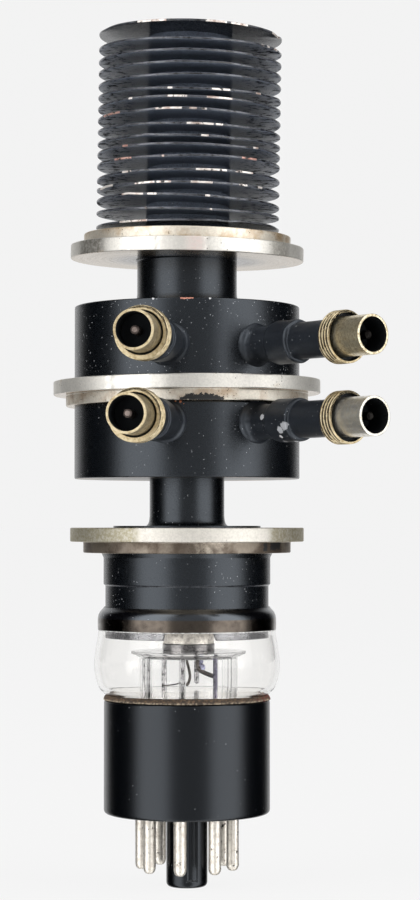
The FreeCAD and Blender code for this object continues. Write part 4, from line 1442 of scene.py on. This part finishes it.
@dataclass
class Flanges:
    """Three turned, stepped flanges."""

    finishes: Finishes
    rim_radius: float = 22.2
    rim_thickness: float = 2.65
    step_radius: float = 19.7
    step_thickness: float = 2.1
    wide_radius: float = 25.4
    wide_step_radius: float = 23.05
    edge: float = 0.28
    lower_z: float = 49.2
    middle_z: float = 77.1
    middle_tilt: float = 0.5
    top_z: float = 109.55

    def build(self) -> None:
        """Make the three flanges."""
        lift = Matrix.Translation((0, 0, self.lower_z * MM))
        made = self.finishes.made
        plain, polished = made[Finish.NICKEL], made[Finish.POLISHED]
        self.flange("lower_flange", "turned_flange_lower", self.rim_radius, self.step_radius, 4.5, lift,
                    [made[Finish.LOWER_RIM], polished, made[Finish.STEP]])
        thickness = self.rim_thickness + self.step_thickness
        middle = Matrix.Translation((0, 0, (self.middle_z + thickness / 2) * MM))
        tilt = middle @ Matrix.Rotation(math.radians(-self.middle_tilt), 4,
            "Y") @ Matrix.Translation((0, 0, -thickness / 2 * MM))
        self.flange("middle_flange", "turned_flange_middle", self.wide_radius, self.wide_step_radius, 4.5,
            tilt,
                    [plain, polished, made[Finish.SMEARED]])
        over = leaned() @ Matrix.Translation((0, 0, self.top_z * MM)) @ Matrix.Rotation(math.pi, 4, "X")
        self.flange("upper_flange", "turned_flange_upper", self.rim_radius, self.step_radius, 7.95, over,
                    [made[Finish.UPPER_RIM], polished, made[Finish.TAN]])

    def flange(
        self, node: str, name: str, rim: float, step: float, bore: float, place: Matrix,
        materials: list[bpy.types.Material],
    ) -> None:
        """Make one flange that stands on its smaller step.

        Args:
            node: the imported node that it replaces.
            name: the piece's name.
            rim, step, bore: radii in millimetres.
            place: where it goes.
            materials: for the rim, what faces down, and the step.
        """
        low, high = self.step_thickness, self.step_thickness + self.rim_thickness
        upright = place.to_3x3()[2][2] > 0
        corners = [(bore, 0), (step, 0), (step, low), (rim, low), (rim, high), (bore, high)]
        chance = random.Random(name)
        nicks = [(chance.uniform(0, 6.28), chance.uniform(0.03, 0.09),
                chance.uniform(0.01, 0.03)) for _ in range(14)]

        def nicked(turn: float, radius: float, height: float) -> tuple[float, float]:
            """Return the small knocks on the rim's edges."""
            if radius < (rim - 0.4) * MM or low * MM + 0.3 * MM < height < high * MM - 0.3 * MM:
                return 0.0, 0.0
            return -sum(depth * math.exp(-(((turn - spot) / width) ** 2)) for spot, depth,
                width in nicks) * MM, 0.0

        def kind(_turn: float, station: Station) -> int:
            """Return the rim, what faces down, or the step."""
            if (station.up if upright else -station.up) < -0.7:
                return 1
            return 2 if station.radius < (step + 0.05) * MM and station.out > 0.3 else 0

        stations = outline(millimetres(corners), self.edge * MM, step=1.5 * MM, bends=5)
        Surface().turned(stations, 288, shift=nicked, place=place, kind=kind).piece(name, "flange_metal",
            materials, [node])


def leaned() -> Matrix:
    """Return the lean of all that stands above the upper neck."""
    foot = Vector((0, 0, 104.8)) * MM
    turn = Matrix.Rotation(math.radians(1.0), 4, "X") @ Matrix.Rotation(math.radians(0.9), 4, "Y")
    return Matrix.Translation(foot) @ turn @ Matrix.Translation(-foot)


@dataclass
class Cavities:
    """Resonant cavities, their necks and what is inside."""

    finishes: Finishes
    radius: float = 21.4
    wall: float = 1.2
    edge: float = 0.3
    lower_z: float = 63.6
    lower_drop: float = 0.4
    upper_z: float = 81.85
    height: float = 13.5
    cap_rise: float = 0.55
    lower_bore: float = 6.5
    upper_bore: float = 8.9
    nodes: dict[str, Finish] = field(default_factory=lambda: {
        "lower_neck": Finish.PAINT,
        "upper_neck": Finish.PAINT,
        "drift_tube": Finish.COPPER,
        "cavity_grids": Finish.COPPER,
    })

    def build(self) -> None:
        """Make both shells and dress the rest."""
        for node, kind in self.nodes.items():
            self.finishes.dress(node, kind)
        r, inner, w = self.radius, self.radius - self.wall, self.wall
        low, high = self.lower_z - self.lower_drop, self.lower_z + self.height
        lower = [(self.lower_bore, low), (r, low), (r, high), (inner, high), (inner, low + w),
            (self.lower_bore, low + w)]
        self.shell("lower_cavity", lower, Finish.ORANGE_PAINT)
        self.flares()
        low, high = self.upper_z, self.upper_z + self.height + self.cap_rise
        upper = [(inner, low), (r, low), (r, high), (self.upper_bore, high), (self.upper_bore, high - w),
            (inner, high - w)]
        self.shell("upper_cavity", upper, Finish.WORN_PAINT)

    def shell(self, node: str, corners: Profile, kind: Finish) -> None:
        """Turn one cavity's shell, with soft painted edges.

        Args:
            node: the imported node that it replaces.
            corners: its outline in millimetres.
            kind: its finish.
        """
        chance = random.Random(node)
        swells = [(order, chance.uniform(0.004, 0.014), chance.uniform(0, 6.28)) for order in (2, 5, 9)]

        def uneven(turn: float, radius: float, _height: float) -> tuple[float, float]:
            """Return the slight unevenness of the wall."""
            if radius < (self.radius - 0.5) * MM:
                return 0.0, 0.0
            return sum(size * math.sin(order * turn + phase) for order, size, phase in swells) * MM, 0.0

        stations = outline(millimetres(corners), self.edge * MM, step=1.5 * MM, bends=6)
        bottom = (corners[0][1] + 0.02) * MM

        def bare(_turn: float, station: Station) -> int:
            """Return bare metal for the flat bottom and paint elsewhere."""
            return 1 if station.up < -0.9 and station.height < bottom else 0

        made = self.finishes.made
        Surface().turned(stations, 240, shift=uneven, kind=bare).piece(
            f"{node}_shell", "body_paint", [made[kind], made[Finish.BOTTOM]], [node])

    def flares(self) -> None:
        """Paint that runs out at the foot of each neck."""
        surface = Surface()
        for line in (
            ((9.95, 96.4), (9.8, 96.9), (9.66, 97.4), (9.56, 97.9), (9.5, 98.5)),
            ((7.8, 54.25), (7.4, 54.7), (7.2, 55.3), (7.1, 56.2)),
        ):
            surface.turned(curve_stations(smooth_line(millimetres(list(line)), 5)), 128, closed=False)
        surface.piece("neck_flares", "body_paint", [self.finishes.made[Finish.PAINT]], [])


@dataclass
class Radiator:
    """Collector with its stack of thin fins, some knocked out of line."""

    finishes: Finishes
    radius: float = 17.45
    thickness: float = 0.45
    collector: float = 7.95
    count: int = 17
    first_z: float = 110.7
    pitch: float = 2.245
    tilt_side: float = 0.3
    tilt_front: float = 0.5
    knocks: dict[int, tuple[float, float, float]] = field(default_factory=lambda: {
        1: (-0.6, -0.3, 0.0), 2: (0.3, 0.6, 0.15), 3: (0.9, -0.9, 0.0), 4: (0.15, -1.1, 0.05),
        5: (-0.75, -1.2, 0.05), 6: (-0.75, -1.4, 0.4), 7: (-0.25, -1.6, 0.25), 9: (0.35, 0.1, -0.05),
        10: (0.0, -1.2, 0.0), 11: (0.0, -1.2, 0.0), 12: (0.05, 0.15, -0.2), 13: (-0.8, -0.6, -0.1),
        17: (0.5, -1.1, 0.65),
    })
    bare: dict[int, tuple[tuple[float, float], ...]] = field(default_factory=lambda: {
        1: ((-47, -26),), 2: ((-27, -25), (13, 15)), 3: ((-45, -28), (-26, -20), (-5, -4), (10, 14)),
        4: ((-72, -54), (-34, -21), (-19, -10), (2, 15), (33, 39), (48, 53)),
        5: ((-45, -38), (5, 24), (30, 43)),
        6: ((-17, -15), (4, 5)), 7: ((44, 48),), 8: ((7, 12),), 9: ((-1, 15), (17, 21)),
        10: ((-21, -4), (0, 5), (8, 11)), 11: ((-40, -37), (-14, -2), (10, 27)),
        12: ((14, 25), (-14, -11), (45, 50)),
        13: ((-11, -10),), 16: ((50, 52), (56, 58), (64, 71)),
        17: ((-34, -15), (9, 23), (25, 37), (62, 75)),
    })
    pink: dict[int, tuple[tuple[float, float], ...]] = field(default_factory=lambda: {
        6: ((-53, -38), (34, 47)), 7: ((-45, -40),), 10: ((-68, -48),),
    })

    def build(self) -> None:
        """Make the fins and dress the collector."""
        for number in range(1, self.count + 1):
            self.fin(number)
        self.finishes.dress("collector", Finish.COLLECTOR)

    def fin(self, number: int) -> None:
        """Make one fin, counted from the bottom, with its own waves and dents."""
        side, front, rise = self.knocks.get(number, (0.0, 0.0, 0.0))
        chance = random.Random(100 + number)
        waves = [(order, chance.uniform(0.02, 0.16) / order, chance.uniform(0, 6.28)) for order in (2, 3,
                5)]
        dents = [(chance.uniform(0, 6.28), chance.uniform(-0.22, 0.22),
                chance.uniform(0.08, 0.2)) for _ in range(3)]
        if number >= 11:
            dents.append((math.radians(chance.uniform(62, 84)), chance.uniform(-0.35, 0.1), 0.1))

        def bent(turn: float, radius: float, _height: float) -> tuple[float, float]:
            """Return the fin's waves and dents, which grow toward the rim."""
            share = max(0.0, (radius / MM - self.collector) / (self.radius - self.collector))
            lift = sum(size * math.sin(order * turn + phase) for order, size, phase in waves) * share
            for spot, size, width in dents:
                off = (turn - spot + math.pi) % (2 * math.pi) - math.pi
                lift += size * math.exp(-((off / width) ** 2)) * share**6
            return 0.0, lift * MM

        r, t, c = self.radius, self.thickness, self.collector
        stations = outline(millimetres([(c, 0), (r, 0), (r, t), (c, t)]), 0.2 * MM, step=1.6 * MM, bends=4)
        z = self.first_z + (number - 1) * self.pitch + rise
        spin = Matrix.Rotation(math.radians(self.tilt_front + front), 4,
            "X") @ Matrix.Rotation(math.radians(self.tilt_side + side), 4, "Y")
        place = leaned() @ Matrix.Translation((0, 0, z * MM)) @ spin
        made = self.finishes.made
        # The middle fins take the fin paint with its painted reflection; the lowest and highest take plain
        # black paint.
        coat = made[Finish.PAINT if number in (1, self.count) else Finish.FIN]

        def kind(turn: float, station: Station) -> int:
            """Return paint, bare metal or bare copper for a place on the fin."""
            if station.out < 0.3:
                return 0
            off = (math.degrees(turn) + 180) % 360 - 180
            if any(first <= off <= last for first, last in self.bare.get(number, ())):
                return 1
            if any(first <= off <= last for first, last in self.pink.get(number, ())):
                return 2
            return 3 if station.out > 0.8 else 0

        Surface().turned(stations, 240, shift=bent, place=place, kind=kind).piece(
            f"cooling_fin_{number:02d}", "fin_paint",
            [coat, made[Finish.BARE], made[Finish.COPPER_RIM], made[Finish.RIM]], [f"fin_{number:02d}"])


@dataclass
class Port:
    """One coaxial port: outer tube, threaded ring, open end, glass bead and inner conductor."""

    finishes: Finishes
    name: str
    height: float
    turn: float
    paint: Finish = Finish.TUBE
    metal: Finish = Finish.WARM_PORT
    ring_metal: Finish = Finish.WARM_PORT
    inner: Finish = Finish.INNER
    ring_start: float = 43.2
    thread_count: int = 4
    ring_end: float = 46.9
    ring_radius: float = 4.7625
    groove_radius: float = 4.3
    groove_depth: float = 1.5
    root_radius: float = 3.65
    thread_depth: float = 0.34
    spigot_radius: float = 3.55
    bore_radius: float = 3.05
    tip: float = 53.5
    foot: float = 20.5
    stub_radius: float = 3.2
    sleeve: tuple[float, float] = (27.7, 33.9)
    sleeve_radius: float = 3.95
    tube_radius: float = 3.35

    def build(self) -> None:
        """Make the tube, the ring and the open end, and dress the rest."""
        self.tube()
        self.ring()
        self.spigot()
        self.finishes.dress(f"{self.name}_port_bead", Finish.BEAD)
        self.finishes.dress(f"{self.name}_port_pin", self.inner)

    def place(self) -> Matrix:
        """Return where a piece built along +Z goes, its height being the reach from the axis."""
        lift = Matrix.Translation((0, 0, self.height * MM))
        return lift @ Matrix.Rotation(math.radians(self.turn), 4, "Z") @ Matrix.Rotation(math.pi / 2, 4,
            "X")

    def tube(self) -> None:
        """Painted tube with its soldered foot and its thicker sleeve, both thick with paint."""
        start, end = self.sleeve
        bore, stub, sleeve, tube = self.bore_radius, self.stub_radius, self.sleeve_radius, self.tube_radius
        corners = [(bore, self.foot), (4.3, self.foot), (4.0, self.foot + 1.0), (3.45, self.foot + 1.6),
                   (stub, self.foot + 2.6), (stub, start - 0.3), (sleeve - 0.15, start),
                   (sleeve, start + 0.4),
                   (sleeve, end - 0.35), (sleeve - 0.15, end), (tube, end + 0.1), (tube, self.ring_start),
                   (bore, self.ring_start)]
        chance = random.Random(self.name)
        lumps = [(order, chance.uniform(0.01, 0.05), chance.uniform(0, 6.28)) for order in (1, 2, 3, 5, 8)]

        def thick(turn: float, radius: float, height: float) -> tuple[float, float]:
            """Return the lumps in the paint, largest at the foot and at the sleeve's ends."""
            if radius < (self.bore_radius + 0.05) * MM:
                return 0.0, 0.0
            near = sum(math.exp(-(((height / MM - spot) / 0.9) ** 2)) for spot in (self.foot + 1.6, start,
                    end))
            swell = sum(size * math.sin(order * turn + phase + height / MM) for order, size, phase in lumps)
            return swell * (0.15 + near) * MM, 0.0

        stations = outline(millimetres(corners), 0.3 * MM, step=0.5 * MM, bends=5)
        Surface().turned(stations, 96, shift=thick, place=self.place()).piece(
            f"{self.name}_outer_tube", "body_paint", [self.finishes.made[self.paint]],
            [f"{self.name}_port_tube"])

    def ring(self) -> None:
        """Ring with a helical thread and painted shade in the groove of its outer face."""
        start, end = self.ring_start, self.ring_end
        pitch = (end - start) / self.thread_count
        corners = [(self.root_radius, start), (self.ring_radius, start), (self.ring_radius, end),
            (self.groove_radius, end),
                   (self.groove_radius, end - self.groove_depth),
                   (self.root_radius, end - self.groove_depth)]

        def wave(turn: float, height: float) -> float:
            """Return 0 on the thread's crest and 1 in its root."""
            phase = (height / MM - start) / pitch - turn / (2 * math.pi)
            return 0.5 - 0.5 * math.cos(2 * math.pi * phase)

        def thread(turn: float, radius: float, height: float) -> tuple[float, float]:
            """Return the thread's depth at a place on the ring's outside."""
            if radius < (self.ring_radius - 0.2) * MM:
                return 0.0, 0.0
            return -self.thread_depth * wave(turn, height) * MM, 0.0

        def kind(turn: float, station: Station) -> int:
            """Return plate, painted shade in the thread's root, or painted shade in the groove."""
            if station.radius < (self.groove_radius + 0.02) * MM:
                return 2
            return 1 if station.out > 0.5 and wave(turn, station.height) > 0.45 else 0

        stations = outline(millimetres(corners), 0.1 * MM, step=0.08 * MM, bends=4)
        made = self.finishes.made
        Surface().turned(stations, 96, shift=thread, place=self.place(), kind=kind).piece(
            f"{self.name}_threaded_ring", "port_metal",
            [made[self.ring_metal], made[Finish.THREAD_ROOT_SHADE], made[Finish.RECESS_SHADE]],
            [f"{self.name}_port_ring"])

    def spigot(self) -> None:
        """Thin tube end, bright at its lip, with painted shade inside."""
        corners = [(self.bore_radius, self.ring_start), (self.root_radius, self.ring_start),
            (self.root_radius, self.ring_end - 1.6),
                   (self.spigot_radius, self.ring_end - 1.5), (self.spigot_radius, self.tip),
                   (self.bore_radius, self.tip)]
        stations = outline(millimetres(corners), 0.12 * MM, step=1.2 * MM, bends=5)
        made = self.finishes.made

        def kind(_turn: float, station: Station) -> int:
            """Return painted shade for the bore and plate elsewhere."""
            return 1 if station.out < -0.5 else 0

        Surface().turned(stations, 96, place=self.place(), kind=kind).piece(
            f"{self.name}_open_end", "port_metal", [made[self.metal], made[Finish.RECESS_SHADE]],
            [f"{self.name}_port_spigot"])


@dataclass
class Ports:
    """The four ports."""

    finishes: Finishes

    def build(self) -> None:
        """Make each port."""
        for port in (
            Port(self.finishes, "upper_left", 87.5, -9.75, groove_radius=3.9, groove_depth=0.6),
            Port(self.finishes, "upper_right", 87.5, 37.05, metal=Finish.DULL_PORT, inner=Finish.SHADED_INNER,
                ring_start=44.0),
            Port(self.finishes, "lower_left", 73.35, -11.1, groove_radius=3.9, groove_depth=0.6),
            Port(
                self.finishes, "lower_right", 73.35, 37.5, Finish.CHIPPED_PAINT, Finish.PORT,
                inner=Finish.SHADED_INNER,
                ring_start=43.9),
        ):
            port.build()


@dataclass
class Studio:
    """White floor and background, two tall soft lamps and the camera."""

    frame_width: int = 420
    frame_height: int = 900
    focal_px: float = 2400.0
    camera_distance: float = 0.457
    camera_height: float = 0.05446
    horizon_px: float = 525.0
    axis_px: float = 187.0
    sensor: float = 36.0
    floor_z: float = -0.0139
    white: float = 0.895
    floor_glow: float = 0.933
    ambient: float = 0.4
    in_front: float = 0.62
    box_level: float = 3.0
    at_side: float = 0.0
    box_offset: float = 4.0
    box_starts: tuple[float, float] = (22.0, 36.0)
    box_ends: tuple[float, float] = (66.0, 87.0)
    back_starts: tuple[float, float] = (132.0, 156.0)
    lamp_size: tuple[float, float] = (0.8, 1.1)
    lamp_reach: float = 0.85
    lamp_bearings: tuple[float, float] = (-57.0, 67.0)
    lamp_power: float = 8.0

    def build(self) -> None:
        """Make the whole studio."""
        self.world()
        self.floor()
        for index, bearing in enumerate(self.lamp_bearings):
            self.lamp(f"soft_lamp_{index + 1}", bearing)
        self.camera()
        view = bpy.context.scene.view_settings
        view.view_transform = "Standard"

    def world(self) -> None:
        """White to the camera, the studio's parts in glass and reflections, and a plain level for light."""
        world = bpy.data.worlds.new("studio")
        bpy.context.scene.world = world
        world.use_nodes = True
        kit = Sockets(world.node_tree)
        background = world.node_tree.nodes["Background"]
        ray = kit.node("ShaderNodeLightPath")
        sharp = kit.maths("MAXIMUM", ray.outputs["Is Glossy Ray"], ray.outputs["Is Transmission Ray"])
        level = kit.blend(sharp, (self.ambient,) * 3, self.reflected(kit))
        level = kit.blend(ray.outputs["Is Camera Ray"], level, (self.white,) * 3)
        kit.feed(background.inputs["Strength"], level)
        background.inputs["Color"].default_value = (1.0, 1.0, 1.0, 1.0)

    def reflected(self, kit: Sockets) -> bpy.types.NodeSocket:
        """Return what shiny surfaces see: grey in front, soft boxes, dark sides and white behind."""
        way = kit.node("ShaderNodeSeparateXYZ", {0: kit.node("ShaderNodeTexCoord").outputs["Generated"]})
        bearing = kit.maths("ARCTAN2", way.outputs["X"], kit.maths("MULTIPLY", way.outputs["Y"], -1.0))
        off = kit.maths("ABSOLUTE", kit.maths("SUBTRACT", bearing, math.radians(self.box_offset)))
        level: object = (self.in_front,) * 3
        for ends, next_level in (
            (self.box_starts, self.box_level),
            (self.box_ends, self.at_side),
            (self.back_starts, self.white),
        ):
            share = kit.ramp(off, *(math.radians(turn) for turn in ends))
            level = kit.blend(share, level, (next_level,) * 3)
        return level

    def floor(self) -> None:
        """Wide pale floor at the key's lower end."""
        half = 40.0
        corners = [(-half, -half), (half, -half), (half, half), (-half, half)]
        mesh = bpy.data.meshes.new("studio_floor")
        mesh.from_pydata([(x, y, self.floor_z) for x, y in corners], [], [(0, 1, 2, 3)])
        floor = bpy.data.objects.new("studio_floor", mesh)
        bpy.context.scene.collection.objects.link(floor)
        material, kit, shader, output = new_material("studio floor")
        shader.inputs["Base Color"].default_value = (0.8, 0.8, 0.8, 1.0)
        shader.inputs["Roughness"].default_value = 0.9
        glow = kit.node("ShaderNodeEmission", {"Color": (1.0, 1.0, 1.0), "Strength": self.floor_glow})
        ray = kit.node("ShaderNodeLightPath")
        shown = kit.maths("MAXIMUM", ray.outputs["Is Camera Ray"], ray.outputs["Is Transmission Ray"])
        share = kit.maths("MULTIPLY", shown, 0.93)
        mix = kit.node("ShaderNodeMixShader", {0: share, 1: shader.outputs[0], 2: glow.outputs[0]})
        kit.feed(output.inputs["Surface"], mix.outputs[0])
        mesh.materials.append(material)
        floor.visible_glossy = False

    def lamp(self, name: str, bearing: float) -> None:
        """Put a tall area lamp on a bearing from the front, facing the tube."""
        data = bpy.data.lights.new(name, "AREA")
        data.shape = "RECTANGLE"
        data.size, data.size_y = self.lamp_size
        data.energy = self.lamp_power
        lamp = bpy.data.objects.new(name, data)
        bpy.context.scene.collection.objects.link(lamp)
        turn = math.radians(bearing)
        middle = self.floor_z + self.lamp_size[1] / 2 + 0.01
        lamp.location = (self.lamp_reach * math.sin(turn), -self.lamp_reach * math.cos(turn), middle)
        aim = Vector((0, 0, middle)) - lamp.location
        lamp.rotation_euler = aim.to_track_quat("-Z", "Y").to_euler()
        lamp.visible_glossy = False

    def camera(self) -> None:
        """Stand the camera at the photograph's place, with a level horizon."""
        data = bpy.data.cameras.new("camera")
        data.sensor_width = self.sensor
        data.lens = self.focal_px / self.frame_height * self.sensor
        data.clip_start = 0.01
        camera = bpy.data.objects.new("camera", data)
        bpy.context.scene.collection.objects.link(camera)
        up = math.atan((self.horizon_px - self.frame_height / 2) / self.focal_px)
        right = math.atan((self.frame_width / 2 - self.axis_px) / self.focal_px)
        camera.location = (0.0, -self.camera_distance, self.camera_height)
        camera.rotation_euler = (math.pi / 2 + up, 0.0, -right)
        bpy.context.scene.camera = camera


def main() -> None:
    """Build every assembly and the studio in order."""
    logging.basicConfig(level=logging.INFO, format="%(message)s")
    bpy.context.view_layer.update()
    finishes = Finishes()
    for assembly in (Base, Bulb, Gun, Cup, Flanges, Cavities, Radiator, Ports):
        assembly(finishes).build()
        log.info("built %s", assembly.__name__)
    Studio().build()


if __name__ == "__main__":
    main()
